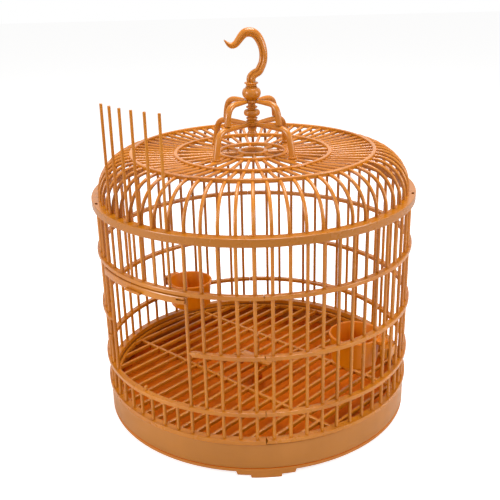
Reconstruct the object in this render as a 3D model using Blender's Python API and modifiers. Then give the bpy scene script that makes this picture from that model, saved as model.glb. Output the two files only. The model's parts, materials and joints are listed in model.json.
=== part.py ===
"""A round bird cage moulded in brown plastic.

A dished bottom pan with four feet carries a drum ring, a slatted floor grille, four quarter
panels of upright bars and a domed top. A hanger of two four-legged spiders stands on the roof
and holds a swivel hook. The door slides up and down in the front left panel.

Azimuths are in degrees, 0 at the front (-Y) and growing to the right (+X).
"""

import math

import bmesh
import bpy
from mathutils import Matrix, Vector

# Whole cage
CAGE_RADIUS = 0.1664
PANEL_COUNT = 4
BARS_PER_PANEL = 16
CLEARANCE = 0.0003
OVERLAP = 0.0004
OVERRUN = 0.002
WELD_DISTANCE = 0.000002
FLAT_ANGLE = 0.002
SMOOTH_BELOW_DEGREES = 35

# Bottom pan and its feet
FOOT_HEIGHT = 0.0066
FOOT_TOE_HEIGHT = 0.0031
FOOT_DEPTH = 0.009
FOOT_INSET = 0.0004
FOOT_HEEL_WIDTH = 0.0586
FOOT_TOE_WIDTH = 0.0319
PAN_RIM_HEIGHT = 0.0041
PAN_FLOOR_THICKNESS = 0.002
PAN_SPIGOT_HEIGHT = 0.006
PAN_SPIGOT_WALL = 0.002
PAN_BOSS_HEIGHT = 0.012
PAN_BOSS_WALL = 0.003

# Drum ring
DRUM_SET_BACK = 0.0033
DRUM_HEIGHT = 0.0267
DRUM_WALL = 0.0025
DRUM_RIM_WIDTH = 0.0062
DRUM_LEDGE_WIDTH = 0.0036
DRUM_LEDGE_THICKNESS = 0.0022

# Floor grille
GRILLE_DROP = 0.0007
GRILLE_THICKNESS = 0.0042
GRILLE_RIM_WIDTH = 0.0030
SLAT_PITCH = 0.01584
SLAT_WIDTH = 0.0032
RIB_WIDTH = 0.0034
RIB_DOOR_OFFSET = 0.0495
RIB_BACK_OFFSET = 0.0551
GRILLE_HUB_WALL = 0.0036
GRILLE_HUB_RISE = 0.0020
GRILLE_AZIMUTH = -45.0

# Lock button through the floor grille
LOCK_SHAFT_DIAMETER = 0.0056
LOCK_POST_DIAMETER = 0.0066
LOCK_POST_HEIGHT = 0.0300
LOCK_RIB_COUNT = 6
LOCK_RIB_DEPTH = 0.0009
LOCK_CAP_HEIGHT = 0.0030
LOCK_WING_LENGTH = 0.0440
LOCK_WING_WIDTH = 0.0108
LOCK_WING_THICKNESS = 0.0030
LOCK_WING_END_DEGREES = (-60, -20, 20, 60)

# Bars and hoops of the wall
BAR_DIAMETER = 0.0026
HOOP_SET_BACK = 0.0013
HOOP_DEPTH = 0.0058
HOOP_HEIGHT = 0.0042
BAR_INSET = 0.0040
WALL_RING_SET_BACK = 0.0017
WALL_RING_DEPTH = 0.0075
WALL_RING_HEIGHT = 0.0049
WALL_RING_DRAFT = 0.0004
FIRST_HOOP_RISE = 0.0328
SECOND_HOOP_RISE = 0.0583
THIRD_HOOP_RISE = 0.0596
BAND_RISE = 0.0478

# Sliding door in the front left panel
DOOR_AZIMUTH = -45.0
DOOR_ROD_COUNT = 6
DOOR_ROD_TOP_SPARE = 0.0057
DOOR_RAIL_HEIGHT = 0.0073
DOOR_RAIL_WIDTH = 0.1156
DOOR_RAIL_PROUD = 0.0013
DOOR_RAIL_DEPTH = 0.0081
DOOR_TAB_WIDTH = 0.0197
DOOR_TAB_REACH = 0.0034
DOOR_TAB_THICKNESS = 0.0024
DOOR_NOTCH_WIDTH = 0.0081
DOOR_NOTCH_DEPTH = 0.0036
DOOR_STOP_DIAMETER = 0.0030
DOOR_STOP_HEIGHT = 0.0058
HOOP_POINT_LENGTH = 0.0052

# Dome
BAND_HEIGHT = 0.0079
BAND_DEPTH = 0.0105
BAND_SLOT_LENGTH = 0.0060
BAND_SLOT_WIDTH = 0.0026
BAND_SLOT_INSET = 0.0030
BAND_SLOT_PITCHES = 13
DOME_BAR_INSET = 0.0085
DOME_STRAIGHT = 0.0033
DOME_CORNER_RADIUS = 0.0345
DOME_CORNER_STEPS = 4
ROOF_DISH = 0.0030
ROOF_FLAT_SHARE = 0.64
ROOF_RING_WIDTH = 0.0030
ROOF_RING_HEIGHT = 0.0036
ROOF_RING_RISE = 0.0004
ROOF_OUTER_RING_RADIUS = 0.1236
ROOF_MIDDLE_RING_RADIUS = 0.0789
ROOF_INNER_RING_RADIUS = 0.0344
ROOF_HUB_RING_RADIUS = 0.0133
ROOF_INNER_BAR_STEP = 2
ROOF_HUB_BAR_STEP = 8
ROOF_PAD_DIAMETER = 0.0120
ROOF_PAD_THICKNESS = 0.0026

# Hanger
SHANK_DIAMETER = 0.0040
HANGER_AZIMUTH = 45.0
HANGER_LEG_COUNT = 4
HANGER_ARM_DIAMETER = 0.0064
HANGER_FOOT_RADIUS = 0.0527
HANGER_FOOT_DIAMETER = 0.0090
HANGER_FOOT_THICKNESS = 0.0018
HANGER_PEG_DIAMETER = 0.0020
LOWER_HUB_DIAMETER = 0.0136
LOWER_HUB_HEIGHT = 0.0058
LOWER_HUB_RISE = 0.0247
UPPER_HUB_DIAMETER = 0.0150
UPPER_HUB_HEIGHT = 0.0030
UPPER_FOOT_RADIUS = 0.0358
SPINDLE_DIAMETER = 0.0092
SPINDLE_LENGTH = 0.0183
SPINDLE_DISC_DIAMETER = 0.0118
SPINDLE_BULGE_DIAMETER = 0.0164
FINIAL_DIAMETER = 0.0100
FINIAL_LENGTH = 0.0100
BALL_DIAMETER = 0.0188
BALL_HEIGHT = 0.0130
BALL_PROFILE_DEGREES = (50, 35, 12, -12, -35, -50)
COLLAR_DIAMETER = 0.0144
COLLAR_HEIGHT = 0.0040
COLLAR_NECK_DIAMETER = 0.0112

# Hook, whose outline points are shares of its reach to the tip and of its height
HOOK_REACH = 0.0260
HOOK_HEIGHT = 0.0476
HOOK_DIAMETER = 0.0090
HOOK_ROUTE_SHARES = (
    (0.00, 0.00, 1.00),
    (0.00, 0.08, 1.00),
    (0.12, 0.155, 0.98),
    (0.28, 0.205, 0.95),
    (0.37, 0.285, 0.92),
    (0.45, 0.39, 0.90),
    (0.48, 0.52, 0.90),
    (0.46, 0.655, 0.90),
    (0.39, 0.785, 0.94),
    (0.26, 0.91, 0.98),
    (0.11, 0.98, 1.00),
    (-0.05, 1.00, 1.00),
    (-0.20, 0.985, 0.97),
    (-0.32, 0.93, 0.90),
    (-0.45, 0.84, 0.82),
    (-0.57, 0.765, 0.76),
    (-0.71, 0.74, 0.68),
    (-0.85, 0.775, 0.45),
    (-1.00, 0.86, 0.10),
)

# Food cups and their holders
LEFT_CUP_PITCHES = -25
RIGHT_CUP_PITCHES = 10
CUP_DIAMETER = 0.0542
CUP_BASE_DIAMETER = 0.0466
CUP_HEIGHT = 0.0316
CUP_WALL = 0.0016
CUP_LIP = 0.0010
CUP_LIP_HEIGHT = 0.0024
CUP_RIM_HEIGHT = 0.1025
CUP_ARM_WIDTH = 0.0120
CUP_ARM_THICKNESS = 0.0040
CUP_ARM_DROP = 0.0012
CUP_TONGUE_WIDTH = 0.0110
CUP_TONGUE_THICKNESS = 0.0024
CUP_TONGUE_LENGTH = 0.0100
HOLDER_WIDTH = 0.0264
HOLDER_HEIGHT = 0.0112
HOLDER_PLATE_THICKNESS = 0.0052
HOLDER_BLOCK_WIDTH = 0.0180
HOLDER_BLOCK_DEPTH = 0.0066
CUP_TO_HOLDER_GAP = 0.0030

# Clip on a bar at the left
CLIP_DIAMETER = 0.0074
CLIP_HEIGHT = 0.0066
CLIP_HEIGHT_ABOVE_GROUND = 0.0996
CLIP_PANEL_BAR = 3

# Facets
BARS_PER_HOOP_FACET = 2
DRUM_SEGMENTS = 48
CUP_SEGMENTS = 24
SMALL_SEGMENTS = 12
POST_SEGMENTS = 10
FOOT_SEGMENTS = 6
HOLE_SEGMENTS = 8
BAR_RESOLUTION = 0
ARM_RESOLUTION = 1

# Angles that follow from the counts
PITCH = 360.0 / (PANEL_COUNT * BARS_PER_PANEL)
PANEL_ANGLE = 360.0 / PANEL_COUNT
BAR_COUNT = PANEL_COUNT * BARS_PER_PANEL
HOOP_SEGMENTS = BAR_COUNT // BARS_PER_HOOP_FACET

# Radii that follow
BAR_RADIUS = BAR_DIAMETER / 2
DRUM_RADIUS = CAGE_RADIUS - DRUM_SET_BACK
DRUM_INNER_RADIUS = DRUM_RADIUS - DRUM_WALL
RABBET_RADIUS = DRUM_RADIUS - DRUM_RIM_WIDTH
LEDGE_RADIUS = RABBET_RADIUS - DRUM_LEDGE_WIDTH
GRILLE_RADIUS = RABBET_RADIUS - CLEARANCE
SPIGOT_RADIUS = DRUM_INNER_RADIUS - CLEARANCE
PAN_INNER_RADIUS = SPIGOT_RADIUS - PAN_SPIGOT_WALL
HOOP_RADIUS = CAGE_RADIUS - HOOP_SET_BACK
HOOP_INNER_RADIUS = HOOP_RADIUS - HOOP_DEPTH
BAR_CIRCLE_RADIUS = HOOP_RADIUS - BAR_INSET
WALL_RING_RADIUS = CAGE_RADIUS - WALL_RING_SET_BACK
BAND_INNER_RADIUS = CAGE_RADIUS - BAND_DEPTH
DOME_BAR_CIRCLE_RADIUS = CAGE_RADIUS - DOME_BAR_INSET
RAIL_RADIUS = HOOP_RADIUS + DOOR_RAIL_PROUD
RAIL_INNER_RADIUS = RAIL_RADIUS - DOOR_RAIL_DEPTH
RAIL_FRONT_RADIUS = BAR_CIRCLE_RADIUS + BAR_RADIUS + CLEARANCE + OVERLAP / 2
SHOULDER_RADIUS = DOME_BAR_CIRCLE_RADIUS - DOME_CORNER_RADIUS
ROOF_FLAT_RADIUS = SHOULDER_RADIUS * ROOF_FLAT_SHARE
SHAFT_BORE_RADIUS = LOCK_SHAFT_DIAMETER / 2 + CLEARANCE
SHANK_BORE_RADIUS = SHANK_DIAMETER / 2 + CLEARANCE
ROD_HOLE_RADIUS = (BAR_RADIUS + CLEARANCE) / math.cos(math.pi / HOLE_SEGMENTS)

# Heights that follow, above the ground
PAN_RIM_TOP = FOOT_HEIGHT + PAN_RIM_HEIGHT
PAN_FLOOR_TOP = FOOT_HEIGHT + PAN_FLOOR_THICKNESS
PAN_BOSS_TOP = PAN_FLOOR_TOP + PAN_BOSS_HEIGHT
DRUM_BOTTOM = PAN_RIM_TOP + CLEARANCE
DRUM_TOP = DRUM_BOTTOM + DRUM_HEIGHT
GRILLE_TOP = DRUM_TOP - GRILLE_DROP
GRILLE_BOTTOM = GRILLE_TOP - GRILLE_THICKNESS
GRILLE_HUB_TOP = GRILLE_TOP + GRILLE_HUB_RISE
WING_BOTTOM = GRILLE_HUB_TOP + CLEARANCE
WING_TOP = WING_BOTTOM + LOCK_WING_THICKNESS
WALL_BOTTOM = DRUM_TOP + CLEARANCE
WALL_RING_TOP = WALL_BOTTOM + WALL_RING_HEIGHT
FIRST_HOOP_HEIGHT = WALL_BOTTOM + FIRST_HOOP_RISE
SECOND_HOOP_HEIGHT = FIRST_HOOP_HEIGHT + SECOND_HOOP_RISE
THIRD_HOOP_HEIGHT = SECOND_HOOP_HEIGHT + THIRD_HOOP_RISE
BAND_BOTTOM = THIRD_HOOP_HEIGHT + BAND_RISE
BAND_TOP = BAND_BOTTOM + BAND_HEIGHT
WALL_BAR_TOP = BAND_BOTTOM - CLEARANCE
FIRST_HOOP_TOP = FIRST_HOOP_HEIGHT + HOOP_HEIGHT / 2
RAIL_TOP = THIRD_HOOP_HEIGHT - HOOP_HEIGHT / 2 - CLEARANCE
RAIL_BOTTOM = RAIL_TOP - DOOR_RAIL_HEIGHT
DOOR_TRAVEL = RAIL_BOTTOM - FIRST_HOOP_TOP - CLEARANCE
DOOR_ROD_TOP = BAND_BOTTOM + DOOR_ROD_TOP_SPARE + DOOR_TRAVEL
ROOF_HEIGHT = BAND_TOP + DOME_STRAIGHT + DOME_CORNER_RADIUS
ROOF_FLAT_HEIGHT = ROOF_HEIGHT - ROOF_DISH
ROOF_PAD_TOP = ROOF_FLAT_HEIGHT + ROOF_PAD_THICKNESS / 2 + OVERLAP / 2
HANGER_FOOT_BOTTOM = ROOF_PAD_TOP + CLEARANCE
LOWER_HUB_BOTTOM = HANGER_FOOT_BOTTOM + LOWER_HUB_RISE
LOWER_HUB_TOP = LOWER_HUB_BOTTOM + LOWER_HUB_HEIGHT
LOWER_ARM_HEIGHT = LOWER_HUB_BOTTOM + LOWER_HUB_HEIGHT / 2
SPINDLE_BOTTOM = LOWER_HUB_TOP + CLEARANCE
SPINDLE_TOP = SPINDLE_BOTTOM + SPINDLE_LENGTH
UPPER_HUB_BOTTOM = SPINDLE_TOP + CLEARANCE
UPPER_HUB_TOP = UPPER_HUB_BOTTOM + UPPER_HUB_HEIGHT
UPPER_ARM_HEIGHT = UPPER_HUB_BOTTOM + UPPER_HUB_HEIGHT / 2
BALL_BOTTOM = UPPER_HUB_TOP + CLEARANCE
BALL_TOP = BALL_BOTTOM + BALL_HEIGHT
COLLAR_BOTTOM = BALL_TOP + CLEARANCE
COLLAR_TOP = COLLAR_BOTTOM + COLLAR_HEIGHT
HOOK_BOTTOM = COLLAR_TOP + CLEARANCE
FINIAL_TOP = LOWER_HUB_BOTTOM - CLEARANCE
FINIAL_BOTTOM = FINIAL_TOP - FINIAL_LENGTH
SHANK_BOTTOM = FINIAL_BOTTOM + FINIAL_LENGTH / 2
HOLDER_TOP = CUP_RIM_HEIGHT - CUP_ARM_DROP - CUP_ARM_THICKNESS - CLEARANCE
HOLDER_BOTTOM = HOLDER_TOP - HOLDER_HEIGHT

# Radii of the cup and its holder
HOLDER_BACK_RADIUS = BAR_CIRCLE_RADIUS
HOLDER_PLATE_RADIUS = HOLDER_BACK_RADIUS - HOLDER_PLATE_THICKNESS
HOLDER_FRONT_RADIUS = HOLDER_PLATE_RADIUS - HOLDER_BLOCK_DEPTH
CUP_CENTRE_RADIUS = HOLDER_FRONT_RADIUS - CUP_TO_HOLDER_GAP - CUP_DIAMETER / 2
TONGUE_RADIUS = HOLDER_PLATE_RADIUS - HOLDER_BLOCK_DEPTH / 2

COLLECTION = bpy.data.collections.new("bird_cage")
HELPERS = bpy.data.collections.new("cutters")


def clear_scene():
    for obj in list(bpy.data.objects):
        bpy.data.objects.remove(obj, do_unlink=True)
    bpy.context.scene.collection.children.link(COLLECTION)
    bpy.context.scene.collection.children.link(HELPERS)


def plastic(name, colour, roughness):
    """A glossy moulded plastic."""
    material = bpy.data.materials.new(name)
    material.use_nodes = True
    shader = material.node_tree.nodes["Principled BSDF"]
    shader.inputs["Base Color"].default_value = (*colour, 1)
    shader.inputs["Roughness"].default_value = roughness
    shader.inputs["Metallic"].default_value = 0
    return material


def polar(radius, azimuth, height=0.0):
    """A point at this distance from the cage's axis."""
    angle = math.radians(azimuth)
    return Vector((radius * math.sin(angle), -radius * math.cos(angle), height))


def arc(radius, start, end, steps):
    """Points along a circle round the cage's axis, both ends included."""
    return [polar(radius, start + (end - start) * i / steps) for i in range(steps + 1)]


def circle(radius, steps, centre=(0, 0), turn=0.0):
    """A closed outline of points round a centre."""
    points = []
    for i in range(steps):
        angle = math.radians(turn) + 2 * math.pi * i / steps
        x = centre[0] + radius * math.cos(angle)
        y = centre[1] + radius * math.sin(angle)
        points.append(Vector((x, y, 0)))
    return points


def rectangle(length, width, centre=(0, 0), turn=0.0):
    """A closed outline, its length along X before it turns about the axis."""
    corners = [(-1, -1), (1, -1), (1, 1), (-1, 1)]
    spin = Matrix.Rotation(math.radians(turn), 3, "Z")
    points = []
    for across, along in corners:
        x = centre[0] + across * length / 2
        y = centre[1] + along * width / 2
        points.append(spin @ Vector((x, y, 0)))
    return points


def degrees_of(length, radius):
    """The angle that an arc of this length takes."""
    return math.degrees(length / radius)


def into(obj, collection):
    collection.objects.link(obj)
    return obj


def helper(obj):
    """Keeps an object that only shapes another one out of the part."""
    obj.hide_render = True
    obj.display_type = "WIRE"
    return into(obj, HELPERS)


def as_mesh(obj, name):
    """The evaluated shape of an object as a welded mesh, in place of that object."""
    bpy.context.view_layer.update()
    graph = bpy.context.evaluated_depsgraph_get()
    mesh = bpy.data.meshes.new_from_object(obj.evaluated_get(graph))
    shape = bmesh.new()
    shape.from_mesh(mesh)
    bmesh.ops.remove_doubles(shape, verts=shape.verts, dist=WELD_DISTANCE)
    bmesh.ops.dissolve_limit(shape, angle_limit=FLAT_ANGLE, verts=shape.verts, edges=shape.edges)
    shape.to_mesh(mesh)
    shape.free()
    solid = bpy.data.objects.new(name, mesh)
    solid.matrix_world = obj.matrix_world.copy()
    bpy.data.objects.remove(obj, do_unlink=True)
    return helper(solid)


def plate(name, outlines, low, high):
    """Flat outlines extruded from one height to another; an outline inside another is a hole."""
    curve = bpy.data.curves.new(name, "CURVE")
    curve.dimensions = "2D"
    curve.fill_mode = "BOTH"
    curve.extrude = (high - low) / 2
    for outline in outlines:
        spline = curve.splines.new("POLY")
        spline.points.add(len(outline) - 1)
        for point, place in zip(spline.points, outline):
            point.co = (place.x, place.y, 0, 1)
        spline.use_cyclic_u = True
    flat = helper(bpy.data.objects.new(name + "_outline", curve))
    flat.location.z = (low + high) / 2
    return as_mesh(flat, name)


def rods(name, routes, diameter, resolution, shares=None):
    """Round rods along routes of points, each with its own closed ends."""
    curve = bpy.data.curves.new(name, "CURVE")
    curve.dimensions = "3D"
    curve.bevel_depth = diameter / 2
    curve.bevel_resolution = resolution
    curve.use_fill_caps = True
    for route in routes:
        spline = curve.splines.new("POLY")
        spline.points.add(len(route) - 1)
        for i, (point, place) in enumerate(zip(spline.points, route)):
            point.co = (*place, 1)
            point.radius = shares[i] if shares else 1
    return as_mesh(helper(bpy.data.objects.new(name + "_route", curve)), name)


def turned(name, profile, segments, closed=False):
    """A profile of radius and height turned about its own Z axis."""
    mesh = bpy.data.meshes.new(name)
    edges = [(i, i + 1) for i in range(len(profile) - 1)]
    if closed:
        edges.append((len(profile) - 1, 0))
    mesh.from_pydata([(radius, 0, height) for radius, height in profile], edges, [])
    blank = helper(bpy.data.objects.new(name + "_profile", mesh))
    screw = blank.modifiers.new("turn", "SCREW")
    screw.steps = segments
    screw.render_steps = segments
    screw.use_merge_vertices = True
    screw.merge_threshold = WELD_DISTANCE
    return as_mesh(blank, name)


def gathered(name, parts):
    """Solids that don't touch each other, as one mesh for a Boolean."""
    shape = bmesh.new()
    for part in parts:
        piece = part.data.copy()
        piece.transform(part.matrix_world)
        shape.from_mesh(piece)
        bpy.data.meshes.remove(piece)
        bpy.data.objects.remove(part, do_unlink=True)
    mesh = bpy.data.meshes.new(name)
    shape.to_mesh(mesh)
    shape.free()
    return helper(bpy.data.objects.new(name, mesh))


def combined(name, base, changes):
    """The base with each solid joined to it or cut from it in turn."""
    for kind, tool in changes:
        modifier = base.modifiers.new(tool.name, "BOOLEAN")
        modifier.operation = kind
        modifier.object = tool
        modifier.solver = "EXACT"
    return as_mesh(base, name)


def finished(name, solid, material, azimuth=0.0, location=(0, 0, 0)):
    """Makes a shaped helper a visible piece of the cage."""
    HELPERS.objects.unlink(solid)
    mesh = solid.data
    mesh.transform(solid.matrix_world)
    mesh.name = name
    mesh.materials.clear()
    mesh.materials.append(material)
    mesh.shade_smooth()
    mesh.set_sharp_from_angle(angle=math.radians(SMOOTH_BELOW_DEGREES))
    bpy.data.objects.remove(solid, do_unlink=True)
    piece = bpy.data.objects.new(name, mesh)
    piece.location = location
    piece.rotation_euler.z = math.radians(azimuth)
    return into(piece, COLLECTION)


def ring(name, outer, inner, low, high, steps):
    """A flat ring round the axis."""
    return plate(name, [circle(outer, steps), circle(inner, steps)], low, high)


def drawn_in(solid, radius, draft):
    """Slopes a plate's outer side by pulling in the edge of its top."""
    for vertex in solid.data.vertices:
        if vertex.co.z > 0 and vertex.co.xy.length > radius - draft:
            vertex.co.xy *= (radius - draft) / radius
    return solid


def sector(name, outer, inner, start, end, low, high, steps):
    """A part of a flat ring."""
    outline = arc(outer, start, end, steps) + arc(inner, end, start, steps)
    return plate(name, [outline], low, high)


def bar_azimuths():
    """The bars of one panel, measured from the panel's middle."""
    return [(i - (BARS_PER_PANEL - 1) / 2) * PITCH for i in range(BARS_PER_PANEL)]


def rod_azimuths():
    """The door's rods, measured from the middle of the door."""
    return [(i - (DOOR_ROD_COUNT - 1) / 2) * PITCH for i in range(DOOR_ROD_COUNT)]


def rod_holes(azimuth):
    """Outlines of the holes that the door's rods slide through."""
    holes = []
    for place in rod_azimuths():
        centre = polar(BAR_CIRCLE_RADIUS, azimuth + place)
        holes.append(circle(ROD_HOLE_RADIUS, HOLE_SEGMENTS, centre, azimuth + place))
    return holes


def make_bottom_pan(material):
    """A dished pan whose rim shows under the drum, with four stepped feet and a central boss."""
    profile = [
        (0, PAN_FLOOR_TOP),
        (PAN_INNER_RADIUS, PAN_FLOOR_TOP),
        (PAN_INNER_RADIUS, PAN_RIM_TOP + PAN_SPIGOT_HEIGHT),
        (SPIGOT_RADIUS, PAN_RIM_TOP + PAN_SPIGOT_HEIGHT),
        (SPIGOT_RADIUS, PAN_RIM_TOP),
        (DRUM_RADIUS, PAN_RIM_TOP),
        (DRUM_RADIUS, FOOT_HEIGHT),
        (0, FOOT_HEIGHT),
    ]
    pan = turned("pan", profile, DRUM_SEGMENTS)
    outer = DRUM_RADIUS - FOOT_INSET
    inner = outer - FOOT_DEPTH
    foot_top = FOOT_HEIGHT + PAN_FLOOR_THICKNESS / 2
    changes = []
    for name, width, low, top in (
        ("heel", FOOT_HEEL_WIDTH, FOOT_TOE_HEIGHT, foot_top),
        ("toe", FOOT_TOE_WIDTH, 0, foot_top - OVERLAP),
    ):
        half = degrees_of(width, outer) / 2
        steps = 2 * math.ceil(half / PITCH)
        feet = []
        for i in range(PANEL_COUNT):
            middle = i * PANEL_ANGLE
            foot = sector(f"{name}_{i}", outer, inner, middle - half, middle + half, low, top, steps)
            feet.append(foot)
        changes.append(("UNION", gathered(name + "s", feet)))
    boss_outlines = [
        circle(SHAFT_BORE_RADIUS + PAN_BOSS_WALL, SMALL_SEGMENTS),
        circle(SHAFT_BORE_RADIUS, POST_SEGMENTS),
    ]
    boss = plate("boss", boss_outlines, PAN_FLOOR_TOP - OVERLAP, PAN_BOSS_TOP)
    changes.append(("UNION", boss))
    finished("bottom_pan", combined("pan", pan, changes), material)


def make_drum_ring(material):
    """The tall ring between pan and wall, with a ledge inside for the floor grille."""
    profile = [
        (RABBET_RADIUS, DRUM_TOP),
        (DRUM_RADIUS, DRUM_TOP),
        (DRUM_RADIUS, DRUM_BOTTOM),
        (DRUM_INNER_RADIUS, DRUM_BOTTOM),
        (DRUM_INNER_RADIUS, GRILLE_BOTTOM - CLEARANCE - DRUM_LEDGE_THICKNESS),
        (LEDGE_RADIUS, GRILLE_BOTTOM - CLEARANCE - DRUM_LEDGE_THICKNESS),
        (LEDGE_RADIUS, GRILLE_BOTTOM - CLEARANCE),
        (RABBET_RADIUS, GRILLE_BOTTOM - CLEARANCE),
    ]
    finished("drum_ring", turned("drum", profile, DRUM_SEGMENTS, closed=True), material)


def grille_cells(rim_inner):
    """Outlines of the openings between slats, ribs and rim; the slats run along Y."""
    half_slat = SLAT_WIDTH / 2
    half_rib = RIB_WIDTH / 2
    count = int((rim_inner - half_slat) / SLAT_PITCH)
    cells = []
    for i in range(-count - 1, count + 1):
        left = max(i * SLAT_PITCH + half_slat, SLAT_WIDTH - rim_inner)
        right = min((i + 1) * SLAT_PITCH - half_slat, rim_inner - SLAT_WIDTH)
        if right - left < half_slat:
            continue
        end_left = math.sqrt(rim_inner**2 - left**2)
        end_right = math.sqrt(rim_inner**2 - right**2)
        near = (-end_left, -end_right)
        for offset in (-RIB_DOOR_OFFSET, RIB_BACK_OFFSET):
            if abs(offset) + 2 * RIB_WIDTH < min(end_left, end_right):
                cells.append(cell(left, right, near, (offset - half_rib, offset - half_rib)))
                near = (offset + half_rib, offset + half_rib)
        cells.append(cell(left, right, near, (end_left, end_right)))
    return cells


def cell(left, right, near, far):
    """An opening with upright sides whose ends may slope."""
    corners = [(left, near[0]), (right, near[1]), (right, far[1]), (left, far[0])]
    return [Vector((x, y, 0)) for x, y in corners]


def make_floor_grille(material):
    """A rim with slats along the door's direction, two ribs across them and a central hub."""
    disc = plate("disc", [circle(GRILLE_RADIUS, DRUM_SEGMENTS)], GRILLE_BOTTOM, GRILLE_TOP)
    outlines = grille_cells(GRILLE_RADIUS - GRILLE_RIM_WIDTH)
    cells = plate("cells", outlines, GRILLE_BOTTOM - OVERRUN, GRILLE_TOP + OVERRUN)
    hub_radius = SHAFT_BORE_RADIUS + GRILLE_HUB_WALL
    hub_outline = [circle(hub_radius, SMALL_SEGMENTS)]
    hub = plate("hub", hub_outline, GRILLE_BOTTOM - OVERLAP, GRILLE_HUB_TOP)
    bore_outline = [circle(SHAFT_BORE_RADIUS, POST_SEGMENTS)]
    bore = plate("bore", bore_outline, GRILLE_BOTTOM - OVERRUN, GRILLE_HUB_TOP + OVERRUN)
    changes = [("DIFFERENCE", cells), ("UNION", hub), ("DIFFERENCE", bore)]
    finished("floor_grille", combined("grille", disc, changes), material, GRILLE_AZIMUTH)


def make_lock_button(material):
    """A ribbed post with a wing at its foot; its shaft turns in the boss of the pan."""
    post_radius = LOCK_POST_DIAMETER / 2
    groove_radius = post_radius - LOCK_RIB_DEPTH
    shaft_radius = LOCK_SHAFT_DIAMETER / 2
    post_top = WING_BOTTOM + LOCK_WING_THICKNESS + LOCK_POST_HEIGHT
    rib_zone = LOCK_POST_HEIGHT - LOCK_CAP_HEIGHT
    profile = [(0, post_top), (groove_radius, post_top), (post_radius, post_top - LOCK_RIB_DEPTH)]
    for i in range(LOCK_RIB_COUNT):
        low = post_top - LOCK_CAP_HEIGHT - rib_zone * i / LOCK_RIB_COUNT
        profile.append((post_radius, low))
        profile.append((groove_radius, low - LOCK_RIB_DEPTH))
    shaft_bottom = PAN_FLOOR_TOP + CLEARANCE
    profile += [
        (post_radius, WING_TOP + LOCK_RIB_DEPTH),
        (post_radius, WING_BOTTOM + OVERLAP),
        (shaft_radius, WING_BOTTOM + OVERLAP),
        (shaft_radius, shaft_bottom),
        (0, shaft_bottom),
    ]
    post = turned("post", profile, POST_SEGMENTS)
    half_length = LOCK_WING_LENGTH / 2
    half_width = LOCK_WING_WIDTH / 2
    widest = math.sin(math.radians(max(LOCK_WING_END_DEGREES)))
    outline = []
    for side in (1, -1):
        for turn in LOCK_WING_END_DEGREES:
            angle = math.radians(turn)
            x = half_length - half_width + half_width * math.cos(angle)
            y = half_width * math.sin(angle) / widest
            outline.append(Vector((side * x, side * y, 0)))
    wing = plate("wing", [outline], WING_BOTTOM, WING_TOP)
    lock = combined("lock", post, [("UNION", wing)])
    finished("lock_button", lock, material, GRILLE_AZIMUTH)


def second_hoop_outlines(limit, bar_azimuth):
    """The two stubs of the hoop that the door interrupts, each ending in a point on a bar."""
    point_angle = degrees_of(HOOP_POINT_LENGTH, HOOP_RADIUS)
    steps = (BARS_PER_PANEL - DOOR_ROD_COUNT) // 2 // BARS_PER_HOOP_FACET
    outlines = []
    for side in (-1, 1):
        start = side * (bar_azimuth + point_angle)
        outline = arc(HOOP_RADIUS, side * limit, start, steps)
        outline.append(polar(BAR_CIRCLE_RADIUS, side * bar_azimuth))
        outline += arc(HOOP_INNER_RADIUS, start, side * limit, steps)
        outlines.append(outline)
    return outlines


def make_panel(name, material, azimuth, door):
    """A quarter of the wall: upright bars joined by a bottom ring and three hoops."""
    limit = PANEL_ANGLE / 2 - degrees_of(CLEARANCE / 2, HOOP_INNER_RADIUS)
    steps = BARS_PER_PANEL // BARS_PER_HOOP_FACET
    foot = sector("foot", WALL_RING_RADIUS, WALL_RING_RADIUS - WALL_RING_DEPTH, -limit, limit,
                  WALL_BOTTOM, WALL_RING_TOP, BARS_PER_PANEL)
    drawn_in(foot, WALL_RING_RADIUS, WALL_RING_DRAFT)
    whole = arc(HOOP_RADIUS, -limit, limit, steps) + arc(HOOP_INNER_RADIUS, limit, -limit, steps)
    azimuths = bar_azimuths()
    door_azimuths = rod_azimuths()
    hoops = []
    for i, height in enumerate((FIRST_HOOP_HEIGHT, SECOND_HOOP_HEIGHT, THIRD_HOOP_HEIGHT)):
        outlines = [whole]
        if door and i == 1:
            outlines = second_hoop_outlines(limit, door_azimuths[-1] + PITCH)
        if door and i == 2:
            outlines = [whole] + rod_holes(0)
        low = height - HOOP_HEIGHT / 2
        hoops.append(plate(f"hoop_{i}", outlines, low, low + HOOP_HEIGHT))
    routes = []
    for place in azimuths:
        behind_door = door and abs(place) < door_azimuths[-1] + PITCH / 2
        top = FIRST_HOOP_HEIGHT if behind_door else WALL_BAR_TOP
        bottom = WALL_BOTTOM + WALL_RING_HEIGHT / 2
        routes.append([polar(BAR_CIRCLE_RADIUS, place, bottom), polar(BAR_CIRCLE_RADIUS, place, top)])
    bars = rods("bars", routes, BAR_DIAMETER, BAR_RESOLUTION)
    changes = [("UNION", bars)]
    if door:
        centre = polar(BAR_CIRCLE_RADIUS, 0)
        outline = [circle(DOOR_STOP_DIAMETER / 2, HOLE_SEGMENTS, centre)]
        top = FIRST_HOOP_TOP + DOOR_STOP_HEIGHT
        changes.append(("UNION", plate("stop", outline, FIRST_HOOP_HEIGHT, top)))
    base = gathered("hoops", [foot] + hoops)
    finished(name, combined("panel", base, changes), material, azimuth)


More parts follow.
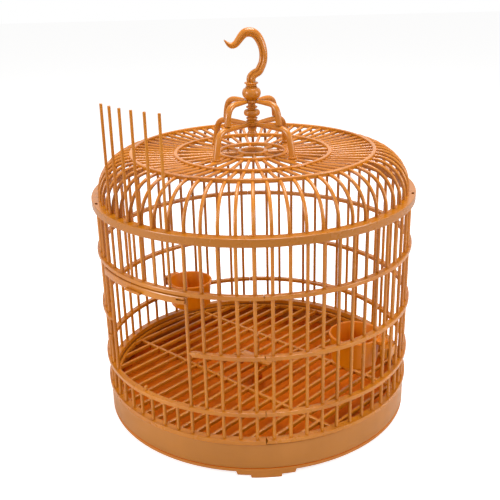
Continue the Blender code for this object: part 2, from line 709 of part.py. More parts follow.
def make_sliding_door(material):
    """A curved rail under the third hoop with six rods and a finger tab."""
    half = degrees_of(DOOR_RAIL_WIDTH, RAIL_RADIUS) / 2
    edge_bar = rod_azimuths()[-1] + PITCH
    inner_half = edge_bar - degrees_of(BAR_RADIUS + 2 * CLEARANCE, BAR_CIRCLE_RADIUS)
    steps = DOOR_ROD_COUNT + 1
    outline = arc(RAIL_RADIUS, -half, half, steps)
    outline += arc(RAIL_FRONT_RADIUS, half, inner_half, 1)
    outline += arc(RAIL_INNER_RADIUS, inner_half, -inner_half, steps)
    outline += arc(RAIL_FRONT_RADIUS, -inner_half, -half, 1)
    pocket_radius = (DOOR_STOP_DIAMETER / 2 + CLEARANCE) / math.cos(math.pi / HOLE_SEGMENTS)
    pocket = circle(pocket_radius, HOLE_SEGMENTS, polar(BAR_CIRCLE_RADIUS, 0))
    rail = plate("rail", [outline, pocket], RAIL_BOTTOM, RAIL_TOP)
    notch_start = half - degrees_of(DOOR_NOTCH_WIDTH, RAIL_RADIUS)
    notch_end = half + degrees_of(OVERRUN, RAIL_RADIUS)
    notch = sector("notch", RAIL_RADIUS + OVERRUN, RAIL_FRONT_RADIUS - OVERRUN, notch_start,
                   notch_end, RAIL_TOP - DOOR_NOTCH_DEPTH, RAIL_TOP + OVERRUN, 1)
    tab_half = degrees_of(DOOR_TAB_WIDTH, RAIL_RADIUS) / 2
    tab_bottom = RAIL_BOTTOM + OVERLAP / 2
    tab = sector("tab", RAIL_RADIUS + DOOR_TAB_REACH, RAIL_FRONT_RADIUS + OVERLAP, -tab_half,
                 tab_half, tab_bottom, tab_bottom + DOOR_TAB_THICKNESS, 2)
    routes = []
    for place in rod_azimuths():
        low = polar(BAR_CIRCLE_RADIUS, place, RAIL_BOTTOM + DOOR_RAIL_HEIGHT / 3)
        routes.append([low, polar(BAR_CIRCLE_RADIUS, place, DOOR_ROD_TOP)])
    door_rods = rods("door_rods", routes, BAR_DIAMETER, BAR_RESOLUTION)
    changes = [("DIFFERENCE", notch), ("UNION", tab), ("UNION", door_rods)]
    finished("sliding_door", combined("door", rail, changes), material, DOOR_AZIMUTH)


def dome_curve():
    """Radius and height along a dome bar: up from the band, round the shoulder, down to the flat."""
    corner_height = BAND_TOP + DOME_STRAIGHT
    curve = [(DOME_BAR_CIRCLE_RADIUS, BAND_BOTTOM + BAND_HEIGHT / 2)]
    for i in range(DOME_CORNER_STEPS + 1):
        angle = math.pi / 2 * i / DOME_CORNER_STEPS
        radius = DOME_BAR_CIRCLE_RADIUS - DOME_CORNER_RADIUS * (1 - math.cos(angle))
        curve.append((radius, corner_height + DOME_CORNER_RADIUS * math.sin(angle)))
    curve.append((ROOF_FLAT_RADIUS, ROOF_FLAT_HEIGHT))
    return curve


def roof_height(radius):
    """The height of the roof's bars at this distance from the axis."""
    curve = dome_curve()
    for (outer, low), (inner, high) in zip(curve[1:], curve[2:]):
        if inner < radius <= outer:
            return low + (high - low) * (outer - radius) / (outer - inner)
    return ROOF_FLAT_HEIGHT


def dome_bar_route(azimuth, inner_radius):
    """A dome bar that ends at this distance from the axis."""
    route = []
    for radius, height in dome_curve():
        if radius > inner_radius + BAR_RADIUS:
            route.append(polar(radius, azimuth, height))
    route.append(polar(inner_radius, azimuth, roof_height(inner_radius)))
    return route


def make_dome(material):
    """The band on top of the wall with the domed roof that stands on it, one moulding."""
    slot_azimuth = BAND_SLOT_PITCHES * PITCH
    slot_radius = CAGE_RADIUS - BAND_SLOT_INSET
    band_outlines = [circle(CAGE_RADIUS, BAR_COUNT), circle(BAND_INNER_RADIUS, BAR_COUNT)]
    band_outlines += rod_holes(DOOR_AZIMUTH)
    for side in (-1, 1):
        place = (0, -slot_radius)
        band_outlines.append(
            rectangle(BAND_SLOT_LENGTH, BAND_SLOT_WIDTH, place, side * slot_azimuth)
        )
    pieces = [plate("band", band_outlines, BAND_BOTTOM, BAND_TOP)]
    for name, radius, steps in (
        ("outer_ring", ROOF_OUTER_RING_RADIUS, HOOP_SEGMENTS),
        ("middle_ring", ROOF_MIDDLE_RING_RADIUS, HOOP_SEGMENTS),
        ("inner_ring", ROOF_INNER_RING_RADIUS, HOOP_SEGMENTS // ROOF_INNER_BAR_STEP),
        ("hub_ring", ROOF_HUB_RING_RADIUS, SMALL_SEGMENTS),
    ):
        outer = radius + ROOF_RING_WIDTH / 2
        inner = radius - ROOF_RING_WIDTH / 2
        ring_low = roof_height(radius) + ROOF_RING_RISE - ROOF_RING_HEIGHT / 2
        pieces.append(ring(name, outer, inner, ring_low, ring_low + ROOF_RING_HEIGHT, steps))
    for i in range(HANGER_LEG_COUNT):
        centre = polar(HANGER_FOOT_RADIUS, HANGER_AZIMUTH + i * 360 / HANGER_LEG_COUNT)
        hole = (HANGER_PEG_DIAMETER / 2 + CLEARANCE) / math.cos(math.pi / HOLE_SEGMENTS)
        outlines = [
            circle(ROOF_PAD_DIAMETER / 2, SMALL_SEGMENTS, centre),
            circle(hole, HOLE_SEGMENTS, centre),
        ]
        pieces.append(plate(f"pad_{i}", outlines, ROOF_PAD_TOP - ROOF_PAD_THICKNESS, ROOF_PAD_TOP))
    rings = gathered("rings", pieces)
    routes = []
    for i in range(BAR_COUNT):
        inner_radius = ROOF_MIDDLE_RING_RADIUS
        if i % ROOF_INNER_BAR_STEP == 0:
            inner_radius = ROOF_INNER_RING_RADIUS
        if i % ROOF_HUB_BAR_STEP == 0:
            inner_radius = ROOF_HUB_RING_RADIUS
        routes.append(dome_bar_route((i + 0.5) * PITCH, inner_radius))
    bars = rods("dome_bars", routes, BAR_DIAMETER, BAR_RESOLUTION)
    finished("dome", combined("dome_solid", rings, [("UNION", bars)]), material)


def spider(name, hub_diameter, hub_low, hub_high, route, shares, foot):
    """Four arms that curve down from a bored hub, each leg ending flat."""
    hub = plate(
        name + "_hub",
        [circle(hub_diameter / 2, SMALL_SEGMENTS)],
        hub_low,
        hub_high,
    )
    routes = []
    feet = []
    for i in range(HANGER_LEG_COUNT):
        azimuth = HANGER_AZIMUTH + i * 360 / HANGER_LEG_COUNT
        routes.append([polar(radius, azimuth, height) for radius, height in route])
        centre = polar(route[-1][0], azimuth)
        for suffix, diameter, low, high in foot:
            outline = [circle(diameter / 2, FOOT_SEGMENTS, centre, azimuth)]
            feet.append((suffix, plate(f"{name}_{suffix}_{i}", outline, low, high)))
    arms = rods(name + "_arms", routes, HANGER_ARM_DIAMETER, ARM_RESOLUTION, shares)
    changes = [("UNION", arms)]
    for suffix, _, _, _ in foot:
        solids = [solid for kind, solid in feet if kind == suffix]
        changes.append(("UNION", gathered(f"{name}_{suffix}", solids)))
    bore_outline = [circle(SHANK_BORE_RADIUS, POST_SEGMENTS)]
    bore = plate(name + "_bore", bore_outline, hub_low - OVERRUN, hub_high + OVERRUN)
    changes.append(("DIFFERENCE", bore))
    return combined(name + "_solid", hub, changes)


def make_spiders(material):
    """The lower spider stands on the roof's pads, the upper one on the lower one's arms."""
    arm_radius = HANGER_ARM_DIAMETER / 2
    shoulder = LOWER_ARM_HEIGHT
    drop = shoulder - HANGER_FOOT_BOTTOM
    reach = HANGER_FOOT_RADIUS
    lower_shares = ((0.45, 0.005), (0.66, 0.01), (0.80, -0.02), (0.88, -0.16), (0.93, -0.38))
    lower = [((SHANK_BORE_RADIUS + LOWER_HUB_DIAMETER / 2) / 2, shoulder)]
    lower += [(reach * out, shoulder + drop * up) for out, up in lower_shares]
    lower += [(reach, HANGER_FOOT_BOTTOM + HANGER_FOOT_THICKNESS * 2 / 3)]
    foot_top = HANGER_FOOT_BOTTOM + HANGER_FOOT_THICKNESS
    foot = (
        ("flange", HANGER_FOOT_DIAMETER, HANGER_FOOT_BOTTOM, foot_top),
        ("peg", HANGER_PEG_DIAMETER, ROOF_PAD_TOP - ROOF_PAD_THICKNESS, foot_top - OVERLAP),
    )
    thickness_shares = (0.62, 0.85, 0.92, 1.0, 1.0, 1.0, 1.1)
    solid = spider("lower_spider", LOWER_HUB_DIAMETER, LOWER_HUB_BOTTOM, LOWER_HUB_TOP,
                   lower, thickness_shares, foot)
    finished("lower_hanger_spider", solid, material)
    landing = LOWER_ARM_HEIGHT + arm_radius + CLEARANCE
    drop = UPPER_ARM_HEIGHT - landing
    reach = UPPER_FOOT_RADIUS
    upper_shares = ((0.50, 0.0), (0.74, -0.02), (0.88, -0.15), (0.96, -0.40), (1.0, -0.70))
    upper = [((SHANK_BORE_RADIUS + UPPER_HUB_DIAMETER / 2) / 2, UPPER_ARM_HEIGHT)]
    upper += [(reach * out, UPPER_ARM_HEIGHT + drop * up) for out, up in upper_shares]
    upper += [(reach, landing)]
    thickness_shares = (0.46, 0.80, 0.92, 1.0, 1.0, 1.0, 1.0)
    solid = spider("upper_spider", UPPER_HUB_DIAMETER, UPPER_HUB_BOTTOM, UPPER_HUB_TOP,
                   upper, thickness_shares, ())
    finished("upper_hanger_spider", solid, material)


def bored(profile):
    """Closes a turned outline round the hook's shank."""
    top = profile[0][1]
    bottom = profile[-1][1]
    return [(SHANK_BORE_RADIUS, top)] + profile + [(SHANK_BORE_RADIUS, bottom)]


def make_spindle(material):
    """The turned column between the two spiders."""
    core = SPINDLE_DIAMETER / 2
    disc = SPINDLE_DISC_DIAMETER / 2
    bulge = SPINDLE_BULGE_DIAMETER / 2
    shares = (
        (core, 1.0),
        (core, 0.80),
        (disc, 0.77),
        (disc, 0.71),
        (core, 0.68),
        (core, 0.62),
        (bulge * 0.88, 0.56),
        (bulge, 0.46),
        (bulge * 0.88, 0.36),
        (core, 0.30),
        (core, 0.25),
        (disc, 0.22),
        (disc, 0.16),
        (core, 0.13),
        (disc, 0.08),
        (disc, 0.0),
    )
    profile = [(radius, SPINDLE_BOTTOM + SPINDLE_LENGTH * share) for radius, share in shares]
    solid = turned("spindle_solid", bored(profile), SMALL_SEGMENTS, closed=True)
    finished("hanger_spindle", solid, material)


def make_ball(material):
    """The flattened ball that the hook turns on."""
    radius = BALL_DIAMETER / 2
    half = BALL_HEIGHT / 2
    middle = BALL_BOTTOM + half
    steepest = math.sin(math.radians(max(BALL_PROFILE_DEGREES)))
    profile = []
    for degrees in BALL_PROFILE_DEGREES:
        angle = math.radians(degrees)
        height = middle + half * math.sin(angle) / steepest
        profile.append((radius * math.cos(angle), height))
    solid = turned("ball_solid", bored(profile), SMALL_SEGMENTS, closed=True)
    finished("swivel_ball", solid, material)


def make_collar(material):
    """The flanged collar between ball and hook."""
    neck = COLLAR_NECK_DIAMETER / 2
    edge = COLLAR_DIAMETER / 2
    shares = ((neck, 1.0), (edge, 0.82), (edge, 0.64), (neck, 0.42), (neck, 0.0))
    profile = [(radius, COLLAR_BOTTOM + COLLAR_HEIGHT * share) for radius, share in shares]
    solid = turned("collar_solid", bored(profile), SMALL_SEGMENTS, closed=True)
    finished("hook_collar", solid, material)


def make_hook(material):
    """The hook and the shank that runs down through the hanger."""
    route = []
    shares = []
    for out, up, thickness in HOOK_ROUTE_SHARES:
        route.append((HOOK_REACH * out, 0, HOOK_BOTTOM + HOOK_HEIGHT * up))
        shares.append(thickness)
    bow = rods("bow", [route], HOOK_DIAMETER, ARM_RESOLUTION, shares)
    outline = [circle(SHANK_DIAMETER / 2, POST_SEGMENTS)]
    shank = plate("shank", outline, SHANK_BOTTOM, HOOK_BOTTOM + OVERRUN)
    finished("hook", combined("hook_solid", bow, [("UNION", shank)]), material)


def make_finial(material):
    """The nut under the hanger that keeps the shank in."""
    radius = FINIAL_DIAMETER / 2
    neck = SPINDLE_DIAMETER / 2
    shares = (
        (neck, 1.0),
        (neck * 0.95, 0.66),
        (radius, 0.50),
        (radius, 0.30),
        (radius * 0.7, 0.08),
        (0, 0.0),
    )
    outside = [(wide, FINIAL_BOTTOM + FINIAL_LENGTH * share) for wide, share in shares]
    blind_end = SHANK_BOTTOM - CLEARANCE
    inside = [(0, blind_end), (SHANK_BORE_RADIUS, blind_end), (SHANK_BORE_RADIUS, FINIAL_TOP)]
    finished("shank_nut", turned("nut", inside + outside, SMALL_SEGMENTS), material)


def make_cup(name, material, azimuth):
    """A tapered food cup with an arm and a tongue that hangs in the holder's slot."""
    top = CUP_RIM_HEIGHT
    bottom = top - CUP_HEIGHT
    lip = CUP_DIAMETER / 2
    wall = lip - CUP_LIP
    base = CUP_BASE_DIAMETER / 2
    profile = [
        (0, bottom + CUP_WALL),
        (base - CUP_WALL, bottom + CUP_WALL),
        (wall - CUP_WALL, top),
        (lip, top),
        (lip, top - CUP_LIP_HEIGHT),
        (wall, top - CUP_LIP_HEIGHT),
        (base, bottom),
        (0, bottom),
    ]
    body = turned("body", profile, CUP_SEGMENTS)
    tongue_reach = TONGUE_RADIUS - CUP_CENTRE_RADIUS
    arm_end = tongue_reach + CUP_TONGUE_THICKNESS / 2
    arm_start = wall - CUP_WALL / 2
    arm_top = top - CUP_ARM_DROP
    arm_centre = (0, -(arm_start + arm_end) / 2)
    arm_outline = [rectangle(CUP_ARM_WIDTH, arm_end - arm_start, arm_centre)]
    arm = plate("arm", arm_outline, arm_top - CUP_ARM_THICKNESS, arm_top)
    tongue_outline = [rectangle(CUP_TONGUE_WIDTH, CUP_TONGUE_THICKNESS - OVERLAP / 2,
                                (0, -tongue_reach))]
    tongue_top = arm_top - CUP_ARM_THICKNESS / 2
    tongue = plate("tongue", tongue_outline, HOLDER_TOP - CUP_TONGUE_LENGTH, tongue_top)
    cup = combined("cup", body, [("UNION", arm), ("UNION", tongue)])
    finished(name, cup, material, azimuth, polar(CUP_CENTRE_RADIUS, azimuth))


def make_holder(name, material, azimuth):
    """A plate that clips on two bars from inside, with a slotted block for the cup's tongue."""
    groove_radius = BAR_RADIUS + CLEARANCE
    groove_depth = groove_radius + OVERLAP / 2
    half = HOLDER_WIDTH / 2
    block = HOLDER_BLOCK_WIDTH / 2
    outline = [(-half, HOLDER_PLATE_RADIUS), (-half, HOLDER_BACK_RADIUS)]
    for side in (-1, 1):
        bar = polar(BAR_CIRCLE_RADIUS, side * PITCH / 2)
        groove_floor = -bar.y - groove_depth
        outline += [
            (bar.x - groove_radius, HOLDER_BACK_RADIUS),
            (bar.x - groove_radius, groove_floor),
            (bar.x + groove_radius, groove_floor),
            (bar.x + groove_radius, HOLDER_BACK_RADIUS),
        ]
    outline += [
        (half, HOLDER_BACK_RADIUS),
        (half, HOLDER_PLATE_RADIUS),
        (block, HOLDER_PLATE_RADIUS),
        (block, HOLDER_FRONT_RADIUS),
        (-block, HOLDER_FRONT_RADIUS),
        (-block, HOLDER_PLATE_RADIUS),
    ]
    points = [Vector((x, -radius, 0)) for x, radius in outline]
    slot_length = CUP_TONGUE_WIDTH + 2 * CLEARANCE
    slot_width = CUP_TONGUE_THICKNESS + 2 * CLEARANCE
    slot = rectangle(slot_length, slot_width, (0, -TONGUE_RADIUS))
    solid = plate("holder", [points, slot], HOLDER_BOTTOM, HOLDER_TOP)
    finished(name, solid, material, azimuth)


def make_bar_clip(material):
    """A small collar clipped on a bar of the front left panel."""
    azimuth = DOOR_AZIMUTH + bar_azimuths()[CLIP_PANEL_BAR]
    hole = (BAR_RADIUS + CLEARANCE) / math.cos(math.pi / HOLE_SEGMENTS)
    outlines = [circle(CLIP_DIAMETER / 2, SMALL_SEGMENTS), circle(hole, HOLE_SEGMENTS)]
    solid = plate("clip", outlines, CLIP_HEIGHT_ABOVE_GROUND, CLIP_HEIGHT_ABOVE_GROUND + CLIP_HEIGHT)
    finished("bar_clip", solid, material, azimuth, polar(BAR_CIRCLE_RADIUS, azimuth))


def build_cage():
    clear_scene()
    brown = plastic("brown_plastic", (0.48, 0.18, 0.05), 0.28)
    drum_brown = plastic("drum_plastic", (0.50, 0.20, 0.07), 0.32)
    orange = plastic("pan_plastic", (0.46, 0.10, 0.015), 0.35)
    amber = plastic("cup_plastic", (0.50, 0.17, 0.03), 0.25)
    make_bottom_pan(orange)
    make_drum_ring(drum_brown)
    make_floor_grille(brown)
    make_lock_button(brown)
    half = PANEL_ANGLE / 2
    for name, azimuth in (
        ("wall_panel_front_left", -half),
        ("wall_panel_front_right", half),
        ("wall_panel_back_right", PANEL_ANGLE + half),
        ("wall_panel_back_left", -PANEL_ANGLE - half),
    ):
        make_panel(name, brown, azimuth, azimuth == DOOR_AZIMUTH)
    make_sliding_door(brown)
    make_dome(brown)
    make_spiders(brown)
    make_spindle(brown)
    make_ball(brown)
    make_collar(brown)
    make_hook(brown)
    make_finial(brown)
    for side, pitches in (("left", LEFT_CUP_PITCHES), ("right", RIGHT_CUP_PITCHES)):
        make_cup(f"cup_{side}", amber, pitches * PITCH)
        make_holder(f"cup_holder_{side}", brown, pitches * PITCH)
    make_bar_clip(brown)
    for tool in list(HELPERS.objects):
        bpy.data.objects.remove(tool, do_unlink=True)


build_cage()
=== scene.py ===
"""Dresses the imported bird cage: round bars, moulded hoops, turned hanger and plastic finishes.

Lengths are in metres. Azimuths are in degrees, 0 at the front (-Y) and growing to the right (+X).
A profile is a list of (radius, height). A path is a list of (x, height, radius of the section).
"""

import json
import math

import bmesh
import bpy
from mathutils import Matrix, Vector


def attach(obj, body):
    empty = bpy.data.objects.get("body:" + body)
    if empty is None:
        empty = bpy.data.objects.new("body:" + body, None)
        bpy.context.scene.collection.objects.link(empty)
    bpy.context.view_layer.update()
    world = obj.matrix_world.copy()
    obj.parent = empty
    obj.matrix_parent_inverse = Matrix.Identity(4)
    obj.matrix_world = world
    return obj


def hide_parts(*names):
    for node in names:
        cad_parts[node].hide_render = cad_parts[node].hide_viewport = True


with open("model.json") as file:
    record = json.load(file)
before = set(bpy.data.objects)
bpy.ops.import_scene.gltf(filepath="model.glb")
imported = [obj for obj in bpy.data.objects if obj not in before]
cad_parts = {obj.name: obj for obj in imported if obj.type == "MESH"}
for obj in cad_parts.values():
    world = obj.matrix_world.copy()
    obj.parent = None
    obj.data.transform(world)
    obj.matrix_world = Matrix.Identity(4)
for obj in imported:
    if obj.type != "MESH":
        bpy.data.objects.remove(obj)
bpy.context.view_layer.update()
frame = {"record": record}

# Whole cage
CAGE_RADIUS = 0.1664
PANEL_ANGLE = 90.0
PITCH = 5.625
BARS_PER_PANEL = 16
BAR_COUNT = 64
BAR_RADIUS = 0.0017
BAR_SIDES = 12
BAR_CIRCLE = 0.1611
SEAM = 0.0003

# Lower and upper heights
PAN_RIM = (0.0066, 0.0107)
DRUM = (0.0110, 0.0377)
GRILLE = (0.0328, 0.0370)
WALL_RING = (0.0380, 0.0429)
BAND = (0.2365, 0.2444)

# Heights
HOOPS = (0.0708, 0.1291, 0.1887)
HOOP_HEIGHT = 0.0042
DOME_SHOULDER = 0.2477
ROOF = 0.2822
ROOF_FLAT = 0.2792

# Radii
DRUM_RADIUS = 0.1631
HOOP_RADIUS = 0.1651
HOOP_INNER = 0.1593
WALL_RING_RADIUS = 0.1647
WALL_RING_INNER = 0.1572
BAND_INNER = 0.1559
DOME_CIRCLE = 0.1579
DOME_CORNER = 0.0345
FLAT_RADIUS = 0.0790

# Steps at the seams between quarters of the wall, and the lift of one ring's lower edge
RING_STEP = 0.0016
HOOP_STEP = 0.0005
RING_LIFT = 0.0010

# Feet as widths and lower heights, floor grille, and lock post with the bores round it
FOOT_STEPS = ((0.0586, 0.0031), (0.0319, 0.0))
FOOT_DEPTH = 0.009
FOOT_SLANT = 0.0013
SLAT_PITCH = 0.01584
SLAT_HALF = 0.0016
SLATS_EACH_WAY = 9
RIB_HALF = 0.0017
RIB_OFFSETS = (-0.0495, 0.0551)
POST_RADIUS = 0.0033

# Sliding door
DOOR_AZIMUTH = -45.0
DOOR_RODS = 6
DOOR_ROD_RADIUS = 0.0014
DOOR_ROD_TOP = 0.3480
ROD_HOLE_RADIUS = 0.0016
DOOR_RAIL = (0.1790, 0.1863)
DOOR_RAIL_HALF = 19.9
DOOR_RAIL_FRONT = 0.1631
DOOR_RAIL_BACK = 0.1583
DOOR_BACK_HALF = 18.8
TAB_HALF = 3.4
TAB_REACH = 0.0034
NOTCH_WIDTH = 2.8
NOTCH_DEPTH = 0.0036
NOTCH_SLOT = 0.0015
STOP_TOP = 0.0775
STOP_POCKET_RADIUS = 0.0021

# Band slots, then roof rings as radius, lower height, upper height and steps
BAND_SLOT_AZIMUTH = 73.1
BAND_SLOT_HALF = 0.0030
BAND_SLOT_RADII = (0.1647, 0.1621)
ROOF_RINGS = (
    (0.1236, 0.2812, 0.2855, 192),
    (0.0789, 0.2782, 0.2825, 144),
    (0.0344, 0.2782, 0.2822, 96),
    (0.0133, 0.2782, 0.2822, 48),
)
ROOF_RING_HALF = 0.0018
SHOULDER_STEPS = 14

# Hanger and hook
HANGER_LEGS = 4
LEG_CIRCLE = 0.0527
HANGER_BORE = 0.0023
HANGER_CORE = 0.0038
CURVE_STEPS = 3
HOOK_BASE = 0.3513
HOOK_SQUAT = 0.0476 / 0.0490
HOOK_CHANNEL = ((0.36, 0.90), (0.18, 0.70))
CHANNEL_OFFSET = 0.29

# Cups, their holders and the bar clip
CUP = (0.0709, 0.1025)
CUP_CIRCLE = 0.1192
TONGUE_CIRCLE = 0.1526
HOLDER = (0.0858, 0.0970)
CLIP_REACH = (0.0019, 0.0040)
CLIP_DEPTH = 0.0020
BAR_CLIP = (0.0996, 0.1062)

# Modelling: what counts as one point, and the radius to which a turned shape closes
WELD = 0.00001
POLE = 0.00001
OVERRUN = 0.001
NEAR_PLANE = 0.0004
CORNER = 0.0006
SMOOTH_ANGLE = math.radians(42)
CRISP_ANGLE = math.radians(20)

# Plastics, each from its deepest to its palest shade
BROWN_SHADES = (0.44, 0.132, 0.0025, 1), (0.50, 0.160, 0.0045, 1), (0.555, 0.188, 0.0085, 1)
# Painted shade, laid over the dome's band to darken it
BAND_PAINTED_SHADE = (0.41, 0.131, 0.001, 1)
DRUM_SHADES = (0.405, 0.139, 0.009, 1), (0.435, 0.151, 0.011, 1), (0.465, 0.164, 0.015, 1)
# Painted shadow for the drum's inner wall and ledge behind the floor grille
DRUM_INNER_PAINTED_SHADOW = (0.24, 0.06, 0.002, 1)
CUP_SHADES = (0.55, 0.140, 0.0002, 1), (0.61, 0.164, 0.0004, 1), (0.66, 0.189, 0.001, 1)
PAN_INSIDE_SHADES = (0.52, 0.102, 0.0002, 1), (0.60, 0.123, 0.0004, 1)
PAN_OUTSIDE_SHADES = (0.50, 0.183, 0.036, 1), (0.54, 0.201, 0.044, 1)
PIGMENT_SPREAD = (0.36, 0.64)
HANDLED_SPREAD = (0.45, 0.7)
HANDLED_ROUGHNESS = 0.08
SKIN_DEPTH = 0.0003

# Camera
LENS = 55.67
SENSOR_WIDTH = 36
VIEW_DISTANCE = 0.7788
VIEW_HEIGHT = 0.4659
VIEW_AZIMUTH = -2.585
VIEW_YAW = -0.362
VIEW_PITCH = 20.66
VIEW_ROLL = -1.27

# Studio: each lamp is a place, what it is aimed at, a width and a power
LAMPS = {
    "top_softbox": ((0.10, 0.10, 1.30), (0, 0, 0.16), 0.7, 15),
    "left_softbox": ((-1.20, -0.60, 0.55), (0, 0, 0.16), 0.5, 11),
    "right_softbox": ((1.15, -0.50, 0.60), (0, 0, 0.16), 0.5, 8.5),
    "front_fill": ((0.12, -0.76, 0.60), (0, -0.1, 0.15), 0.25, 0.5),
}
FLOOR_SIZE = 12
FLOOR_SHADE = (0.80, 0.80, 0.80, 1)
FLOOR_GLOW = 0.72
WHITE = (1, 1, 1, 1)
SOFT_WHITE = (1.0, 0.99, 0.98, 1)
SOFT_LEVEL = 0.31

BODY_OF = {
    node: body
    for body, nodes in frame["record"]["behaviour"]["bodies"].items()
    for node in nodes
}


# Places

def polar(radius, azimuth, height=0.0):
    """A point at this distance from the cage's axis."""
    angle = math.radians(azimuth)
    return Vector((radius * math.sin(angle), -radius * math.cos(angle), height))


def on_plane(place, azimuth):
    """Whether a point lies on the upright plane from the cage's axis towards this azimuth."""
    towards = place.dot(polar(1, azimuth)) > 0
    return towards and abs(place.dot(polar(1, azimuth + 90))) < NEAR_PLANE


def smooth_path(points):
    """More points along a path, on a curve that passes through the given ones."""
    path = []
    for i in range(len(points) - 1):
        before = points[max(i - 1, 0)]
        start, end = points[i], points[i + 1]
        after = points[min(i + 2, len(points) - 1)]
        for step in range(CURVE_STEPS):
            t = step / CURVE_STEPS
            path.append(tuple(
                0.5 * (2 * b + (c - a) * t + (2 * a - 5 * b + 4 * c - d) * t**2
                       + (3 * b - a - 3 * c + d) * t**3)
                for a, b, c, d in zip(before, start, end, after)
            ))
    return path + [points[-1]]


# Modelling steps

def fresh():
    """Leaves nothing selected, so that the next operator meets only what it is given."""
    bpy.ops.object.select_all(action="DESELECT")


def alone(piece):
    """Selects one piece and nothing else."""
    fresh()
    piece.select_set(True)
    bpy.context.view_layer.objects.active = piece


def shaping(name):
    """Opens the active piece in edit mode with all of it selected."""
    piece = bpy.context.object
    piece.name = name
    piece.data.name = name
    bpy.ops.object.transform_apply(location=True, rotation=True, scale=True)
    bpy.ops.object.mode_set(mode="EDIT")
    bpy.ops.mesh.select_mode(type="VERT")
    bpy.ops.mesh.select_all(action="SELECT")
    return piece


def reopened(piece):
    """Opens a shaped piece again for another modelling step."""
    alone(piece)
    return shaping(piece.name)


def shaped(piece, crisp=False):
    """Merges the doubles at seams and poles, points the faces outwards and leaves edit mode."""
    bpy.ops.mesh.select_all(action="SELECT")
    bpy.ops.mesh.remove_doubles(threshold=WELD)
    bpy.ops.mesh.normals_make_consistent(inside=False)
    if crisp:
        bpy.ops.mesh.select_all(action="DESELECT")
        bpy.ops.mesh.select_mode(type="EDGE")
        bpy.ops.mesh.edges_select_sharp(sharpness=CRISP_ANGLE)
        bpy.ops.mesh.mark_sharp()
        bpy.ops.mesh.select_mode(type="VERT")
    bpy.ops.object.mode_set(mode="OBJECT")
    return piece


def pick(piece, holds):
    """Selects the points of the open mesh that a test of their place holds for."""
    bpy.ops.mesh.select_all(action="DESELECT")
    mesh = bmesh.from_edit_mesh(piece.data)
    for point in mesh.verts:
        point.select_set(bool(holds(point.co)))
    mesh.select_flush_mode()
    bmesh.update_edit_mesh(piece.data)


def turned_to(piece, azimuth):
    """Turns a piece's mesh about the cage's axis."""
    piece.data.transform(Matrix.Rotation(math.radians(azimuth), 4, "Z"))
    return piece


def copied(piece, azimuth):
    """A copy with its own mesh, turned about the cage's axis."""
    twin = piece.copy()
    twin.data = piece.data.copy()
    bpy.context.scene.collection.objects.link(twin)
    return turned_to(twin, azimuth)


def around(piece, azimuths):
    """The piece turned to the first azimuth, with copies of it at the others."""
    copies = [copied(piece, azimuth) for azimuth in azimuths[1:]]
    return [turned_to(piece, azimuths[0])] + copies


def joined(name, pieces):
    """Makes one piece of several."""
    alone(pieces[0])
    for piece in pieces[1:]:
        piece.select_set(True)
    bpy.ops.object.join()
    pieces[0].name = name
    pieces[0].data.name = name
    return pieces[0]


def cut(piece, tool):
    """Cuts a closed shape out of a piece and removes the shape."""
    alone(piece)
    modifier = piece.modifiers.new("cut", "BOOLEAN")
    modifier.operation = "DIFFERENCE"
    modifier.object = tool
    bpy.ops.object.modifier_apply(modifier="cut")
    bpy.data.objects.remove(tool, do_unlink=True)
    return piece


def dress(piece, node, finish):
    """Gives a finished piece its plastic and lets it stand for its CAD node."""
    alone(piece)
    bpy.ops.object.shade_smooth_by_angle(angle=SMOOTH_ANGLE)
    piece.data.materials.clear()
    piece.data.materials.append(finish)
    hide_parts(node)
    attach(piece, BODY_OF[node])


# Forms

def block(name, corner, far_corner, rounding=0.0):
    """A box between two corners. Its edges are rounded unless it only cuts."""
    low, high = Vector(corner), Vector(far_corner)
    centre = (low + high) / 2
    fresh()
    bpy.ops.mesh.primitive_cube_add(size=1, location=centre)
    piece = shaping(name)
    bpy.ops.transform.resize(value=high - low, center_override=centre)
    if rounding:
        bpy.ops.mesh.bevel(offset=rounding, segments=2, affect="EDGES")
    return shaped(piece)


def lathed(name, profile, sides, centre=(0.0, 0.0)):
    """A ring of points pulled up and in or out step by step, as on a lathe."""
    radius, height = profile[0]
    fresh()
    bpy.ops.mesh.primitive_circle_add(
        vertices=sides, radius=radius, location=(*centre, height)
    )
    piece = shaping(name)
    for wide, high in profile[1:]:
        rise = (0, 0, high - height)
        bpy.ops.mesh.extrude_region_move(TRANSFORM_OT_translate={"value": rise})
        share = wide / radius
        bpy.ops.transform.resize(value=(share, share, 1), center_override=(*centre, high))
        radius, height = wide, high
    return shaped(piece)


def section_ring(name, outer, inner, heights, span, steps, rounding):
    """A rounded section spun about the cage's axis, from the front to the right.

    Where the span is a full turn, the spin leaves the section's face inside the ring at each step.
    """
    low, high = heights
    centre = (0, -(outer + inner) / 2, (low + high) / 2)
    fresh()
    bpy.ops.mesh.primitive_plane_add(size=1, location=centre, rotation=(0, math.pi / 2, 0))
    piece = shaping(name)
    bpy.ops.transform.resize(value=(1, outer - inner, high - low), center_override=centre)
    bpy.ops.mesh.bevel(offset=rounding, segments=2, affect="VERTICES")
    bpy.ops.mesh.select_all(action="SELECT")
    bpy.ops.mesh.spin(
        steps=steps, angle=-math.radians(span), center=(0, 0, 0), axis=(0, 0, 1)
    )
    return shaped(piece, crisp=True)


